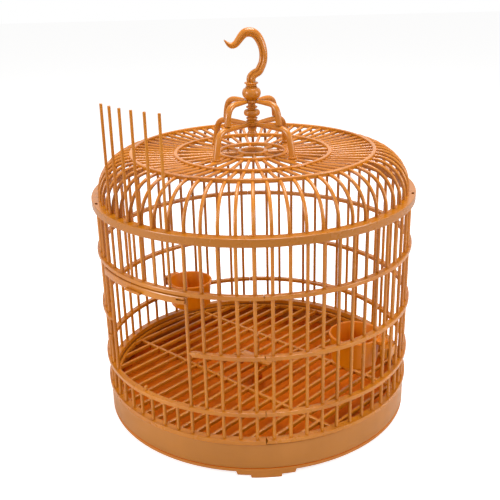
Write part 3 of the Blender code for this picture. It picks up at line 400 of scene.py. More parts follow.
def swept(name, path, sides, channel=()):
    """A round section drawn along a path in the XZ plane.

    Each step of a channel presses both faces in. It gives half the step's width and how much of
    the thickness it keeps, as shares of the section.
    """
    points = [Vector((x, 0, height)) for x, height, _ in path]
    radii = [radius for _, _, radius in path]
    runs = [(b - a).normalized() for a, b in zip(points, points[1:])]
    headings = [(a + b).normalized() for a, b in zip(runs, runs[1:])]
    leans = [math.atan2(way.x, way.z) for way in [runs[0]] + headings + [runs[-1]]]
    fresh()
    bpy.ops.mesh.primitive_circle_add(
        vertices=sides,
        radius=radii[0],
        fill_type="NGON",
        location=points[0],
        rotation=(0, leans[0], 0),
    )
    piece = shaping(name)
    across = Vector((math.cos(leans[0]), 0, -math.sin(leans[0])))
    bed = points[0] - across * radii[0] * CHANNEL_OFFSET
    for share, kept in channel:
        reach = radii[0] * share
        pick(piece, lambda place: abs((place - bed).dot(across)) < reach)
        bpy.ops.transform.resize(value=(1, kept, 1), center_override=points[0])
    bpy.ops.mesh.select_all(action="SELECT")
    for i in range(1, len(points)):
        step = points[i] - points[i - 1]
        bpy.ops.mesh.extrude_region_move(TRANSFORM_OT_translate={"value": step})
        bend = (leans[i] - leans[i - 1] + math.pi) % (2 * math.pi) - math.pi
        bpy.ops.transform.rotate(value=-bend, orient_axis="Y", center_override=points[i])
        share = radii[i] / radii[i - 1]
        bpy.ops.transform.resize(value=(share, share, share), center_override=points[i])
    return shaped(piece)


def rod(name, azimuth, low, high, thickness=BAR_RADIUS):
    """An upright round bar on the bars' circle, with a softened top."""
    fresh()
    bpy.ops.mesh.primitive_cylinder_add(
        vertices=BAR_SIDES,
        radius=thickness,
        depth=high - low,
        location=polar(BAR_CIRCLE, azimuth, (low + high) / 2),
    )
    piece = shaping(name)
    pick(piece, lambda place: place.z > high - WELD)
    bpy.ops.mesh.bevel(offset=thickness / 4, segments=1, affect="EDGES")
    return shaped(piece)


def drill(radius, heights):
    """A round cutter on the bars' circle at the front, longer than the hole it makes."""
    low, high = heights[0] - OVERRUN, heights[1] + OVERRUN
    profile = [(POLE, low), (radius, low), (radius, high), (POLE, high)]
    return lathed("drill", profile, 16, (0, -BAR_CIRCLE))


def disc(centre, half, edge):
    """The rounded profile of a turned disc that swells from the hanger's core, from above."""
    profile = [(HANGER_CORE, centre + half)]
    for degrees in range(75, -76, -15):
        angle = math.radians(degrees)
        swell = (edge - HANGER_CORE) * math.cos(angle) ** 0.6
        profile.append((HANGER_CORE + swell, centre + half * math.sin(angle)))
    return profile + [(HANGER_CORE, centre - half)]


# Shader maths

class Wire:
    """A shader socket whose sums and products add their own Math nodes."""

    def __init__(self, finish, socket):
        self.finish = finish
        self.socket = socket

    def maths(self, operation, first, second):
        settings = {"operation": operation}
        return self.finish.node("ShaderNodeMath", settings, {0: first, 1: second})

    def __add__(self, other):
        return self.maths("ADD", self, other)

    def __radd__(self, other):
        return self.maths("ADD", other, self)

    def __mul__(self, other):
        return self.maths("MULTIPLY", self, other)

    def __rmul__(self, other):
        return self.maths("MULTIPLY", other, self)


class Finish:
    """The nodes of one material, or of the world."""

    def __init__(self, owner):
        owner.use_nodes = True
        self.owner = owner
        self.tree = owner.node_tree
        self.tree.nodes.clear()

    def node(self, kind, settings=None, inputs=None, output=0):
        """Adds a node, sets it up and feeds its sockets with values or wires."""
        made = self.tree.nodes.new(kind)
        for name, value in (settings or {}).items():
            setattr(made, name, value)
        for name, value in (inputs or {}).items():
            if isinstance(value, Wire):
                self.tree.links.new(value.socket, made.inputs[name])
            else:
                made.inputs[name].default_value = value
        return Wire(self, made.outputs[output]) if made.outputs else None

    def places(self, stretch=(1, 1, 1)):
        """Where a point lies on the cage, in metres, stretched along the axes."""
        here = self.node("ShaderNodeTexCoord", output="Object")
        return self.node("ShaderNodeMapping", {}, {"Vector": here, "Scale": stretch})

    def reach(self):
        """How far a point lies from the cage's axis."""
        flat = self.places((1, 1, 0))
        return self.node("ShaderNodeVectorMath", {"operation": "LENGTH"}, {0: flat}, "Value")

    def height(self):
        """How far a point lies above the ground."""
        return self.node("ShaderNodeSeparateXYZ", {}, {0: self.places()}, "Z")

    def noise(self, scale, detail, stretch=(1, 1, 1), roughness=0.5):
        """A cloudy pattern, finer as the scale grows."""
        inputs = {"Vector": self.places(stretch), "Scale": scale, "Detail": detail}
        return self.node("ShaderNodeTexNoise", {}, {**inputs, "Roughness": roughness})

    def between(self, value, low, high, out_low=0.0, out_high=1.0):
        """Spreads the part of a value between two limits over a new range."""
        inputs = {"Value": value, 1: low, 2: high, 3: out_low, 4: out_high}
        return self.node("ShaderNodeMapRange", {}, inputs)

    def mixed(self, share, first, second):
        """A colour between two others."""
        inputs = {0: share, 6: first, 7: second}
        return self.node("ShaderNodeMix", {"data_type": "RGBA"}, inputs, 2)

    def ray(self, kind):
        """Whether the light that is followed is of this kind."""
        return self.node("ShaderNodeLightPath", output=kind)


# Plastics

def closed(finish, colour, roughness, grain, ior):
    """Closes a plastic with duller spots where it is handled and a fine uneven skin."""
    handled = finish.between(finish.noise(35, 4, roughness=0.6), *HANDLED_SPREAD)
    skin = finish.noise(900, 2) * 0.4 + finish.noise(120, 2) * 0.6
    bump = {"Height": skin, "Strength": grain, "Distance": SKIN_DEPTH}
    inputs = {
        "Base Color": colour,
        "Roughness": roughness + handled * HANDLED_ROUGHNESS,
        "Normal": finish.node("ShaderNodeBump", {}, bump),
        "IOR": ior,
    }
    surface = finish.node("ShaderNodeBsdfPrincipled", {}, inputs)
    finish.node("ShaderNodeOutputMaterial", {}, {"Surface": surface})
    return finish.owner


def moulded(finish, shades, roughness, grain=0.03, ior=1.48, where=None, there=None):
    """Plastic with cloudy pigment and faint flow lines, and painted shade laid over it where it is
    asked.
    """
    deep, middle, pale = shades
    flow = finish.noise(45, 2, (1, 1, 0.12))
    shade = finish.between(finish.noise(16, 3) * 0.65 + flow * 0.35, *PIGMENT_SPREAD)
    lower = finish.mixed(finish.between(shade, 0.0, 0.5), deep, middle)
    colour = finish.mixed(finish.between(shade, 0.5, 1.0), lower, pale)
    # Painted shade laid over the pigment where the mask asks
    if where:
        colour = finish.mixed(where, colour, there)
    return closed(finish, colour, roughness, grain, ior)


def new_finish(name):
    return Finish(bpy.data.materials.new(name))


def brown_plastic():
    """What every piece is made of but the dome, the drum, the pan and the cups."""
    return moulded(new_finish("brown_plastic"), BROWN_SHADES, 0.24)


def dome_plastic():
    """The brown plastic, with painted shade that makes the band deeper than the bars above it."""
    finish = new_finish("dome_plastic")
    # Mask of the band, which gets the painted shade
    band = finish.between(finish.height(), BAND[1], BAND[1] + 0.0002, 1, 0)
    return moulded(finish, BROWN_SHADES, 0.24, where=band, there=BAND_PAINTED_SHADE)


def drum_plastic():
    """Light brown outside, with a painted shadow of deep red brown on the inner wall behind the
    floor grille.
    """
    finish = new_finish("drum_plastic")
    # Mask of the inner wall and ledge, which get the painted shadow
    shaded_inner_wall = finish.between(finish.reach(), 0.1572, 0.1578, 1, 0)
    return moulded(
        finish, DRUM_SHADES, 0.31, grain=0.04, where=shaded_inner_wall, there=DRUM_INNER_PAINTED_SHADOW
    )


def cup_plastic():
    """A more orange brown than the walls', with fainter reflections."""
    return moulded(new_finish("cup_plastic"), CUP_SHADES, 0.30, grain=0.02, ior=1.36)


def pan_plastic():
    """Deep orange inside, a greyer brown on the rim and the feet."""
    finish = new_finish("pan_plastic")
    reach = finish.reach()
    below_lip = finish.between(finish.height(), 0.0098, 0.0102, 1, 0)
    lip = finish.between(reach, 0.1625, 0.1629)
    outside = finish.between(reach, 0.1604, 0.1608) * below_lip
    rim = finish.between(lip + outside, 0, 1)
    clouds = finish.between(finish.noise(16, 3), *PIGMENT_SPREAD)
    orange = finish.mixed(clouds, *PAN_INSIDE_SHADES)
    brown = finish.mixed(clouds, *PAN_OUTSIDE_SHADES)
    return closed(finish, finish.mixed(rim, orange, brown), 0.50, 0.04, 1.18)


# Pieces

def make_bottom_pan(finish):
    """The dished pan with its rounded rim, a boss for the lock and four stepped feet."""
    low, high = PAN_RIM
    lip = 0.0009
    floor = low + 0.0020
    inner, spigot = 0.1583, 0.1603
    spigot_top = high + 0.006
    profile = [
        (POLE, floor),
        (inner - 0.004, floor),
        (inner - 0.001, floor + 0.001),
        (inner, floor + 0.004),
        (inner, spigot_top),
        (spigot, spigot_top),
        (spigot, high),
        (DRUM_RADIUS - lip, high),
        (DRUM_RADIUS, high - lip),
        (DRUM_RADIUS, low + lip),
        (DRUM_RADIUS - lip, low),
        (POLE, low),
    ]
    pan = lathed("pan", profile, 192)
    feet = []
    outer = DRUM_RADIUS - 0.0004
    for width, bottom in FOOT_STEPS:
        span = math.degrees(width / outer)
        heights = (bottom, low + 0.001)
        foot = section_ring("foot", outer, outer - FOOT_DEPTH, heights, span, 12, 0.0004)
        for end, inwards in ((0, 90), (span, span - 90)):
            reopened(foot)
            pick(foot, lambda place: on_plane(place, end) and place.z < bottom + CORNER)
            bpy.ops.transform.translate(value=polar(FOOT_SLANT, inwards))
            shaped(foot)
        feet += around(foot, [i * PANEL_ANGLE - span / 2 for i in range(4)])
    boss = lathed("boss", [
        (POST_RADIUS, floor), (0.0060, floor), (0.0060, 0.0204), (0.0058, 0.0206),
        (POST_RADIUS, 0.0206), (POST_RADIUS, floor),
    ], 32)
    dress(joined("bottom_pan_moulding", [pan, boss] + feet), "bottom_pan", finish)


def make_drum(finish):
    """The tall ring with soft edges and the ledge that carries the floor grille."""
    low, high = DRUM
    soft = 0.0008
    foot, inner, ledge_inner = 0.1606, 0.1569, 0.1533
    ledge = 0.0325
    under_ledge = ledge - 0.0022
    profile = [
        (foot, low),
        (DRUM_RADIUS - soft, low),
        (DRUM_RADIUS, low + soft),
        (DRUM_RADIUS, high - 2 * soft),
        (DRUM_RADIUS - 0.6 * soft, high - 0.5 * soft),
        (DRUM_RADIUS - 2 * soft, high),
        (inner, high),
        (inner, ledge),
        (ledge_inner, ledge),
        (ledge_inner, under_ledge),
        (foot, under_ledge),
        (foot, low),
    ]
    dress(lathed("drum_moulding", profile, 192), "drum_ring", finish)


def make_floor_grille(finish):
    """A rim with rounded slats along the door's direction, ribs across them and a hub."""
    low, high = GRILLE
    outer = 0.1566
    inner = outer - 0.0030
    reach = inner + 0.0010
    pieces = [section_ring("rim", outer, inner, GRILLE, 360, 160, 0.0004)]
    for i in range(-SLATS_EACH_WAY, SLATS_EACH_WAY + 1):
        place = i * SLAT_PITCH
        end = math.sqrt(reach**2 - place**2)
        corners = (place - SLAT_HALF, -end, low), (place + SLAT_HALF, end, high)
        pieces.append(block("slat", *corners, 0.0007))
    for place in RIB_OFFSETS:
        end = math.sqrt(reach**2 - place**2) - 0.004
        corners = (-end, place - RIB_HALF, low), (end, place + RIB_HALF, high - 0.0001)
        pieces.append(block("rib", *corners, 0.0005))
    pieces.append(lathed("hub", [
        (POST_RADIUS, low), (0.0067, low), (0.0067, 0.0386), (0.0063, 0.0390),
        (POST_RADIUS, 0.0390), (POST_RADIUS, low),
    ], 32))
    grille = turned_to(joined("floor_grille_moulding", pieces), DOOR_AZIMUTH)
    dress(grille, "floor_grille", finish)


def make_lock_button(finish):
    """The ribbed post and the wing at its foot."""
    wing_low, wing_high = 0.0393, 0.0423
    bottom, top = 0.0089, 0.0723
    shaft = 0.0028
    ribs = 6
    pitch = 0.0270 / ribs
    profile = [(POLE, top), (0.0021, top), (0.0030, top - 0.0006), (POST_RADIUS, top - 0.0014)]
    for i in range(ribs):
        start = top - 0.0030 - pitch * i
        profile += [
            (POST_RADIUS, start),
            (0.0028, start - 0.0006),
            (0.0024, start - 0.0014),
            (0.0026, start - 0.0024),
            (0.0032, start - pitch + 0.0006),
        ]
    profile += [(POST_RADIUS, wing_high), (POST_RADIUS, wing_low), (shaft, wing_low),
                (shaft, bottom), (POLE, bottom)]
    post = lathed("post", profile, 24)
    wing = block("wing", (-0.0220, -0.0050, wing_low), (0.0220, 0.0050, wing_high), 0.0006)
    lock = turned_to(joined("lock_button_moulding", [post, wing]), DOOR_AZIMUTH)
    dress(lock, "lock_button", finish)


def hoop_quarter(height, start, end):
    """A hoop between two azimuths of its panel."""
    low = height - HOOP_HEIGHT / 2
    heights = (low, low + HOOP_HEIGHT)
    steps = max(4, round((end - start) / 2))
    hoop = section_ring("hoop", HOOP_RADIUS, HOOP_INNER, heights, end - start, steps, 0.0006)
    return turned_to(hoop, start)


def notch_end(piece, azimuth, height, depth):
    """Draws the upper outer corner of a ring's end back from the seam to leave a small step."""
    reopened(piece)
    pick(piece, lambda place: on_plane(place, azimuth) and place.z > height
         and place.xy.length > BAR_CIRCLE)
    bpy.ops.transform.translate(value=polar(depth, azimuth + 90))
    return shaped(piece)


def relieved(ring):
    """Lifts the wall ring's lower outer edge off the drum, which leaves a dark line there."""
    reopened(ring)
    pick(ring, lambda place: place.z < WALL_RING[0] + CORNER and place.xy.length > BAR_CIRCLE)
    bpy.ops.transform.translate(value=(0, 0, RING_LIFT))
    return shaped(ring)


def pointed_end(piece, azimuth, height):
    """Draws a hoop's free end in to a blunt point on the bar beside the door."""
    reopened(piece)
    pick(piece, lambda place: on_plane(place, azimuth))
    bar = polar(BAR_CIRCLE, azimuth, height)
    bpy.ops.transform.resize(value=(0.2, 0.2, 0.2), center_override=bar)
    return shaped(piece)


def rod_azimuths(azimuth):
    """Where the door's rods stand if the door is at this azimuth."""
    return [azimuth + (i - (DOOR_RODS - 1) / 2) * PITCH for i in range(DOOR_RODS)]


def rod_holes(piece, azimuth, heights):
    """Cuts the holes that the door's rods slide through."""
    drills = around(drill(ROD_HOLE_RADIUS, heights), rod_azimuths(azimuth))
    return cut(piece, joined("drills", drills))


def make_panel(node, finish, azimuth, door=False):
    """A quarter of the wall: foot ring, three hoops and upright bars."""
    half = PANEL_ANGLE / 2
    gap = math.degrees(SEAM / 2 / HOOP_RADIUS)
    edge = (DOOR_RODS + 1) / 2 * PITCH
    low = sum(WALL_RING) / 2
    ring = section_ring("foot", WALL_RING_RADIUS, WALL_RING_INNER, WALL_RING,
                        PANEL_ANGLE - 2 * gap, 48, 0.0004)
    ring = turned_to(ring, gap - half)
    if node == "wall_panel_front_right":
        ring = relieved(ring)
    pieces = [notch_end(ring, gap - half, low, RING_STEP)]
    for i, height in enumerate(HOOPS):
        lengths = [(gap - half, half - gap)]
        if door and i == 1:
            lengths = [(gap - half, -edge), (edge, half - gap)]
        for start, end in lengths:
            hoop = hoop_quarter(height, start, end)
            if start < -edge:
                notch_end(hoop, start, height, HOOP_STEP)
            for free in (start, end):
                if abs(free) == edge:
                    pointed_end(hoop, free, height)
            if door and i == 2:
                rod_holes(hoop, 0, (height - HOOP_HEIGHT / 2, height + HOOP_HEIGHT / 2))
            pieces.append(hoop)
    azimuths = [(i - (BARS_PER_PANEL - 1) / 2) * PITCH for i in range(BARS_PER_PANEL)]
    full = [place for place in azimuths if not door or abs(place) > edge - PITCH / 2]
    short = [place for place in azimuths if place not in full]
    pieces += around(rod("bar", 0, low, BAND[0] - SEAM), full)
    if door:
        pieces += around(rod("short_bar", 0, low, HOOPS[0]), short)
        pieces.append(rod("stop", 0, HOOPS[0], STOP_TOP))
    dress(turned_to(joined(node + "_moulding", pieces), azimuth), node, finish)


def make_sliding_door(finish):
    """The raised door: a curved rail with a finger tab and a notch, and six rods."""
    low, high = DOOR_RAIL
    outer = section_ring("rail", CAGE_RADIUS, DOOR_RAIL_FRONT, DOOR_RAIL,
                         2 * DOOR_RAIL_HALF, 24, 0.0009)
    turned_to(outer, -DOOR_RAIL_HALF)
    floor = high - NOTCH_DEPTH
    notch = block("notch", (0, -CAGE_RADIUS - 0.002, floor),
                  (0.012, -DOOR_RAIL_FRONT + 0.002, floor + NOTCH_SLOT))
    cut(outer, turned_to(notch, DOOR_RAIL_HALF - NOTCH_WIDTH))
    inner = section_ring("back", DOOR_RAIL_FRONT + 0.0002, DOOR_RAIL_BACK, DOOR_RAIL,
                         2 * DOOR_BACK_HALF, 20, 0.0008)
    turned_to(inner, -DOOR_BACK_HALF)
    cut(inner, drill(STOP_POCKET_RADIUS, DOOR_RAIL))
    tab = section_ring("tab", CAGE_RADIUS + TAB_REACH, DOOR_RAIL_FRONT,
                       (low + 0.0002, low + 0.0026), 2 * TAB_HALF, 6, 0.0008)
    turned_to(tab, -TAB_HALF)
    door_rod = rod("door_rod", 0, low + 0.0020, DOOR_ROD_TOP, DOOR_ROD_RADIUS)
    rods = around(door_rod, rod_azimuths(0))
    door = joined("sliding_door_moulding", [outer, inner, tab] + rods)
    dress(turned_to(door, DOOR_AZIMUTH), "sliding_door", finish)


def dome_bar(inner):
    """A bar from the band up, round the shoulder, down the dished roof and in along its flat."""
    start = sum(BAND) / 2
    fresh()
    bpy.ops.mesh.primitive_circle_add(
        vertices=BAR_SIDES,
        radius=BAR_RADIUS,
        fill_type="NGON",
        location=(0, -DOME_CIRCLE, start),
    )
    piece = shaping("dome_bar")
    rise = (0, 0, DOME_SHOULDER - start)
    bpy.ops.mesh.extrude_region_move(TRANSFORM_OT_translate={"value": rise})
    centre = (0, DOME_CORNER - DOME_CIRCLE, DOME_SHOULDER)
    bpy.ops.mesh.spin(steps=SHOULDER_STEPS, angle=math.pi / 2, center=centre, axis=(1, 0, 0))
    slope = (0, DOME_CIRCLE - DOME_CORNER - FLAT_RADIUS, ROOF_FLAT - ROOF)
    bpy.ops.mesh.extrude_region_move(TRANSFORM_OT_translate={"value": slope})
    if inner < FLAT_RADIUS:
        flat = (0, FLAT_RADIUS - inner, 0)
        bpy.ops.mesh.extrude_region_move(TRANSFORM_OT_translate={"value": flat})
    return shaped(piece)


def make_dome(finish):
    """The band, the roof bars that rise from it, the roof rings and the pads for the hanger."""
    band = section_ring("band", CAGE_RADIUS, BAND_INNER, BAND, 360, 256, 0.0005)
    far, near = BAND_SLOT_RADII
    for azimuth in (-BAND_SLOT_AZIMUTH, BAND_SLOT_AZIMUTH):
        slot = block("slot", (-BAND_SLOT_HALF, -far, BAND[0] - OVERRUN),
                     (BAND_SLOT_HALF, -near, BAND[1] + OVERRUN))
        cut(band, turned_to(slot, azimuth))
    pieces = [rod_holes(band, DOOR_AZIMUTH, BAND)]
    for radius, low, high, steps in ROOF_RINGS:
        pieces.append(section_ring("roof_ring", radius + ROOF_RING_HALF,
                                   radius - ROOF_RING_HALF, (low, high), 360, steps, 0.0008))
    for i in range(BAR_COUNT):
        inner = FLAT_RADIUS
        if i % 2 == 0:
            inner = ROOF_RINGS[2][0]
        if i % 8 == 0:
            inner = ROOF_RINGS[3][0]
        pieces.append(turned_to(dome_bar(inner), (i + 0.5) * PITCH))
    pad = [(POLE, 0.2782), (0.0056, 0.2782), (0.0060, 0.2786), (0.0060, 0.2803),
           (0.0057, 0.2807), (POLE, 0.2807)]
    for i in range(HANGER_LEGS):
        pieces.append(lathed("pad", pad, 32, polar(LEG_CIRCLE, 45 + 90 * i).xy))
    dress(joined("dome_moulding", pieces), "dome", finish)


def make_spider(name, node, finish, hub, arm, foot=None):
    """Four arms drawn out of a turned hub, each leg ending in a foot if it has one."""
    pieces = [lathed("hub", hub, 40)]
    path = smooth_path(arm)
    legs = [swept("arm", path, 20)]
    if foot:
        legs.append(lathed("foot", foot, 32, (path[-1][0], 0)))
    for leg in legs:
        pieces += around(leg, [-45 + 90 * i for i in range(HANGER_LEGS)])
    dress(joined(name, pieces), node, finish)


def make_lower_spider(finish):
    """The larger spider, which stands on the roof's pads."""
    hub = [
        (HANGER_BORE, 0.3057), (0.0054, 0.3057), (0.0062, 0.3061), (0.0063, 0.3068),
        (0.0059, 0.3073), (0.0066, 0.3078), (0.0068, 0.3086), (0.0066, 0.3094),
        (0.0060, 0.3098), (0.0065, 0.3103), (0.0065, 0.3110), (0.0060, 0.3115),
        (HANGER_BORE, 0.3115), (HANGER_BORE, 0.3057),
    ]
    arm = [
        (0.0040, 0.3086, 0.0020), (0.0140, 0.3087, 0.0023), (0.0242, 0.3088, 0.0027),
        (0.0345, 0.3086, 0.0029), (0.0419, 0.3078, 0.0031), (0.0472, 0.3045, 0.0032),
        (0.0498, 0.2984, 0.0032), (0.0514, 0.2912, 0.0032), (0.0525, 0.2846, 0.0034),
        (LEG_CIRCLE, 0.2820, 0.0036),
    ]
    foot = [(POLE, 0.2810), (0.0043, 0.2810), (0.0045, 0.2813), (0.0045, 0.2824),
            (0.0041, 0.2828), (POLE, 0.2830)]
    make_spider("lower_hanger_moulding", "lower_hanger_spider", finish, hub, arm, foot)


def make_upper_spider(finish):
    """The smaller spider, whose legs stand on the lower one's arms."""
    hub = [
        (HANGER_BORE, 0.3304), (0.0068, 0.3304), (0.0075, 0.3309), (0.0075, 0.3327),
        (0.0070, 0.3334), (HANGER_BORE, 0.3334), (HANGER_BORE, 0.3304),
    ]
    arm = [
        (0.0042, 0.3319, 0.0014), (0.0110, 0.3319, 0.0019), (0.0190, 0.3319, 0.0026),
        (0.0262, 0.3313, 0.0029), (0.0312, 0.3286, 0.0032), (0.0338, 0.3240, 0.0032),
        (0.0352, 0.3180, 0.0032), (0.0358, 0.3121, 0.0033),
    ]
    make_spider("upper_hanger_moulding", "upper_hanger_spider", finish, hub, arm)


def make_spindle(finish):
    """The turned column between the spiders: discs above and below a round bulge."""
    low, high = 0.3118, 0.3301
    profile = [(HANGER_BORE, high), (HANGER_CORE, high), (HANGER_CORE, 0.3281)]
    profile += disc(0.3262, 0.0010, 0.0059)
    profile += disc(0.3205, 0.0034, 0.0082)
    profile += disc(0.3150, 0.0010, 0.0059)
    profile += [
        (HANGER_CORE, 0.3134), (0.0054, 0.3130), (0.0059, 0.3126), (0.0059, low + 0.0002),
        (0.0057, low), (HANGER_BORE, low), (HANGER_BORE, high),
    ]
    dress(lathed("hanger_spindle_turning", profile, 48), "hanger_spindle", finish)


def make_ball(finish):
    """The flattened ball with a raised ring round its crown."""
    low, high = 0.3337, 0.3467
    middle = (low + high) / 2
    half = (high - low) / 2
    profile = [
        (HANGER_BORE, high), (0.0052, high), (0.0060, high - 0.0004), (0.0060, high - 0.0013),
        (0.0066, high - 0.0016),
    ]
    for degrees in range(50, -61, -10):
        angle = math.radians(degrees)
        swell = 0.0094 * math.sqrt(math.cos(angle))
        profile.append((swell, middle + half * 0.92 * math.sin(angle)))
    profile += [(0.0060, low + 0.0002), (0.0058, low), (HANGER_BORE, low), (HANGER_BORE, high)]
    dress(lathed("swivel_ball_turning", profile, 48), "swivel_ball", finish)


def make_collar(finish):
    """The thin flange and neck under the hook."""
    low, high = 0.3470, 0.3510
    profile = [
        (HANGER_BORE, low), (0.0050, low), (0.0056, low + 0.0003), (0.0052, low + 0.0012),
        (0.0058, low + 0.0020), (0.0070, low + 0.0027), (0.0072, low + 0.0031),
        (0.0070, low + 0.0034), (0.0058, high), (HANGER_BORE, high), (HANGER_BORE, low),
    ]
    dress(lathed("hook_collar_turning", profile, 40), "hook_collar", finish)


def make_hook(finish):
    """The channelled hook on its round shank."""
    bow = [
        (0.0, 0.0, 0.0045), (0.0, 0.0040, 0.0045), (0.0031, 0.0076, 0.0044),
        (0.0073, 0.0100, 0.0043), (0.0096, 0.0140, 0.0042), (0.0117, 0.0191, 0.0041),
        (0.0125, 0.0255, 0.0040), (0.0120, 0.0321, 0.0040), (0.0101, 0.0385, 0.0042),
        (0.0068, 0.0446, 0.0044), (0.0029, 0.0480, 0.0045), (-0.0013, 0.0490, 0.0045),
        (-0.0052, 0.0483, 0.0044), (-0.0083, 0.0456, 0.0041), (-0.0117, 0.0412, 0.0037),
        (-0.0148, 0.0375, 0.0034), (-0.0185, 0.0363, 0.0030), (-0.0221, 0.0380, 0.0020),
        (-0.0258, 0.0420, 0.0004),
    ]
    path = [
        (x, HOOK_BASE + height * HOOK_SQUAT, radius) for x, height, radius in smooth_path(bow)
    ]
    hook = swept("bow", path, 32, HOOK_CHANNEL)
    shank = lathed("shank", [
        (POLE, 0.3004), (0.0019, 0.3004), (0.0020, 0.3006), (0.0020, HOOK_BASE + 0.001),
        (POLE, HOOK_BASE + 0.001),
    ], 24)
    dress(joined("hook_moulding", [hook, shank]), "hook", finish)


def make_nut(finish):
    """The turned nut that keeps the shank in."""
    profile = [
        (POLE, 0.2954), (0.0028, 0.2956), (0.0042, 0.2966), (0.0049, 0.2982),
        (0.0050, 0.2998), (0.0046, 0.3010), (0.0040, 0.3018), (0.0040, 0.3026),
        (0.0045, 0.3034), (0.0046, 0.3048), (0.0045, 0.3054), (HANGER_BORE, 0.3054),
        (HANGER_BORE, 0.3001), (POLE, 0.3001),
    ]
    dress(lathed("shank_nut_turning", profile, 32), "shank_nut", finish)


def make_cup(node, azimuth, finish):
    """A tapered cup with a thin rolled rim, an arm and a tongue."""
    bottom, top = CUP
    profile = [
        (POLE, bottom + 0.0016), (0.0200, bottom + 0.0016), (0.0214, bottom + 0.0022),
        (0.0219, bottom + 0.0038), (0.0244, top - 0.0012), (0.0248, top - 0.0003),
        (0.0255, top), (0.0266, top - 0.0002), (0.0271, top - 0.0009), (0.0270, top - 0.0018),
        (0.0262, top - 0.0024), (0.0259, top - 0.0030), (0.0236, bottom + 0.0030),
        (0.0233, bottom + 0.0014), (0.0222, bottom + 0.0003), (0.0205, bottom), (POLE, bottom),
    ]
    body = lathed("cup", profile, 72, (0, -CUP_CIRCLE))
    arm = block("arm", (-0.0060, -TONGUE_CIRCLE - 0.0012, top - 0.0052),
                (0.0060, -0.1447, top - 0.0012), 0.0006)
    tongue = block("tongue", (-0.0055, -TONGUE_CIRCLE - 0.0011, 0.0870),
                   (0.0055, -TONGUE_CIRCLE + 0.0011, top - 0.0030), 0.0004)
    cup = turned_to(joined(node + "_moulding", [body, arm, tongue]), azimuth)
    dress(cup, node, finish)


def make_holder(node, azimuth, finish):
    """A block that clips behind two bars, slotted for the cup's tongue."""
    low, high = HOLDER
    under, over = low - OVERRUN, high + OVERRUN
    plate = block("plate", (-0.0098, -0.1611, low), (0.0098, -0.1556, high), 0.0006)
    front = block("front", (-0.0076, -0.1560, low), (0.0076, -0.1498, high), 0.0006)
    cut(front, block("slot", (-0.0058, -0.1541, under), (0.0058, -0.1511, over)))
    near, far = CLIP_REACH
    for side in (-1, 1):
        bar = polar(BAR_CIRCLE, side * PITCH / 2)
        left, right = sorted((bar.x - side * near, bar.x + side * far))
        cut(plate, block("groove", (left, -0.1640, under), (right, bar.y + CLIP_DEPTH, over)))
    holder = turned_to(joined(node + "_moulding", [plate, front]), azimuth)
    dress(holder, node, finish)


def make_bar_clip(finish):
    """A small collar on a bar at the left."""
    low, high = BAR_CLIP
    centre = polar(BAR_CIRCLE, DOOR_AZIMUTH - 4.5 * PITCH)
    profile = [
        (0.0018, low), (0.0033, low), (0.0037, low + 0.0005), (0.0037, high - 0.0005),
        (0.0033, high), (0.0018, high), (0.0018, low),
    ]
    dress(lathed("bar_clip_moulding", profile, 24, centre.xy), "bar_clip", finish)


def make_cage():
    brown = brown_plastic()
    cup = cup_plastic()
    half = PANEL_ANGLE / 2
    make_bottom_pan(pan_plastic())
    make_drum(drum_plastic())
    make_floor_grille(brown)
    make_lock_button(brown)
    make_panel("wall_panel_front_left", brown, -half, door=True)
    make_panel("wall_panel_front_right", brown, half)
    make_panel("wall_panel_back_right", brown, PANEL_ANGLE + half)
    make_panel("wall_panel_back_left", brown, -PANEL_ANGLE - half)
    make_sliding_door(brown)
    make_dome(dome_plastic())
    make_lower_spider(brown)
    make_upper_spider(brown)
    make_spindle(brown)
    make_ball(brown)
    make_collar(brown)
    make_hook(brown)
    make_nut(brown)
    for side, azimuth in (("left", -25 * PITCH), ("right", 10 * PITCH)):
        make_cup(f"cup_{side}", azimuth, cup)
        make_holder(f"cup_holder_{side}", azimuth, brown)
    make_bar_clip(brown)


# Studio

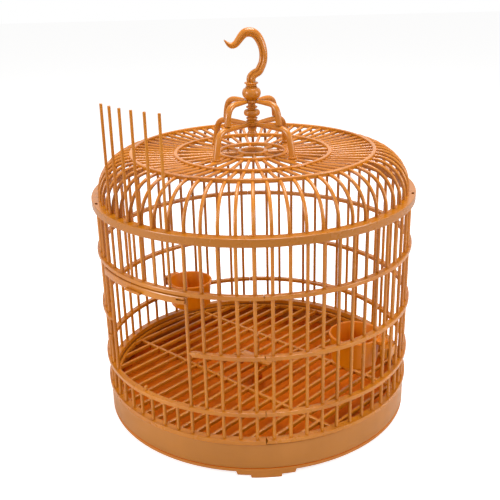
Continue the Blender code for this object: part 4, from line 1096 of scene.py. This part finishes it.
def make_camera():
    """The photograph's viewpoint, turned to look in, down and round."""
    lens = bpy.data.cameras.new("photo_view")
    lens.lens = LENS
    lens.sensor_width = SENSOR_WIDTH
    lens.clip_start = 0.01
    camera = bpy.data.objects.new("photo_view", lens)
    bpy.context.scene.collection.objects.link(camera)
    place = Matrix.Translation(polar(VIEW_DISTANCE, VIEW_AZIMUTH, VIEW_HEIGHT))
    turn = Matrix.Rotation(math.radians(VIEW_AZIMUTH - VIEW_YAW), 4, "Z")
    tilt = Matrix.Rotation(math.radians(90 - VIEW_PITCH), 4, "X")
    roll = Matrix.Rotation(math.radians(VIEW_ROLL), 4, "Z")
    camera.matrix_world = place @ turn @ tilt @ roll
    bpy.context.scene.camera = camera


def make_floor():
    """A pale studio floor that takes the cage's soft shadow."""
    fresh()
    bpy.ops.mesh.primitive_plane_add(size=FLOOR_SIZE, location=(0, 0, 0))
    floor = bpy.context.object
    floor.name = "studio_floor"
    finish = new_finish("studio_floor")
    cloth = finish.node("ShaderNodeBsdfDiffuse", {}, {"Color": FLOOR_SHADE})
    glow = finish.node("ShaderNodeEmission", {}, {"Color": WHITE, "Strength": FLOOR_GLOW})
    both = finish.node("ShaderNodeAddShader", {}, {0: cloth, 1: glow})
    seen = finish.ray("Is Camera Ray")
    surface = finish.node("ShaderNodeMixShader", {}, {0: seen, 1: cloth, 2: both})
    finish.node("ShaderNodeOutputMaterial", {}, {"Surface": surface})
    floor.data.materials.append(finish.owner)


def make_world():
    """White to the eye and in reflections, softer as a light."""
    world = bpy.data.worlds.new("studio")
    bpy.context.scene.world = world
    finish = Finish(world)
    seen = finish.ray("Is Camera Ray")
    for kind in ("Is Glossy Ray", "Is Transmission Ray"):
        seen = seen.maths("MAXIMUM", seen, finish.ray(kind))
    soft = {"Color": SOFT_WHITE, "Strength": SOFT_LEVEL}
    soft = finish.node("ShaderNodeBackground", {}, soft)
    white = finish.node("ShaderNodeBackground", {}, {"Color": WHITE, "Strength": 1.0})
    surface = finish.node("ShaderNodeMixShader", {}, {0: seen, 1: soft, 2: white})
    finish.node("ShaderNodeOutputWorld", {}, {"Surface": surface})


def make_lamp(name, place, target, size, power):
    """A round softbox aimed at a point."""
    lamp = bpy.data.lights.new(name, "AREA")
    lamp.shape = "DISK"
    lamp.size = size
    lamp.energy = power
    holder = bpy.data.objects.new(name, lamp)
    bpy.context.scene.collection.objects.link(holder)
    holder.location = place
    aim = Vector(target) - Vector(place)
    holder.rotation_euler = aim.to_track_quat("-Z", "Y").to_euler()


def make_studio():
    make_camera()
    make_floor()
    make_world()
    for name, lamp in LAMPS.items():
        make_lamp(name, *lamp)


make_studio()
make_cage()
bpy.context.scene.view_settings.view_transform = "Standard"
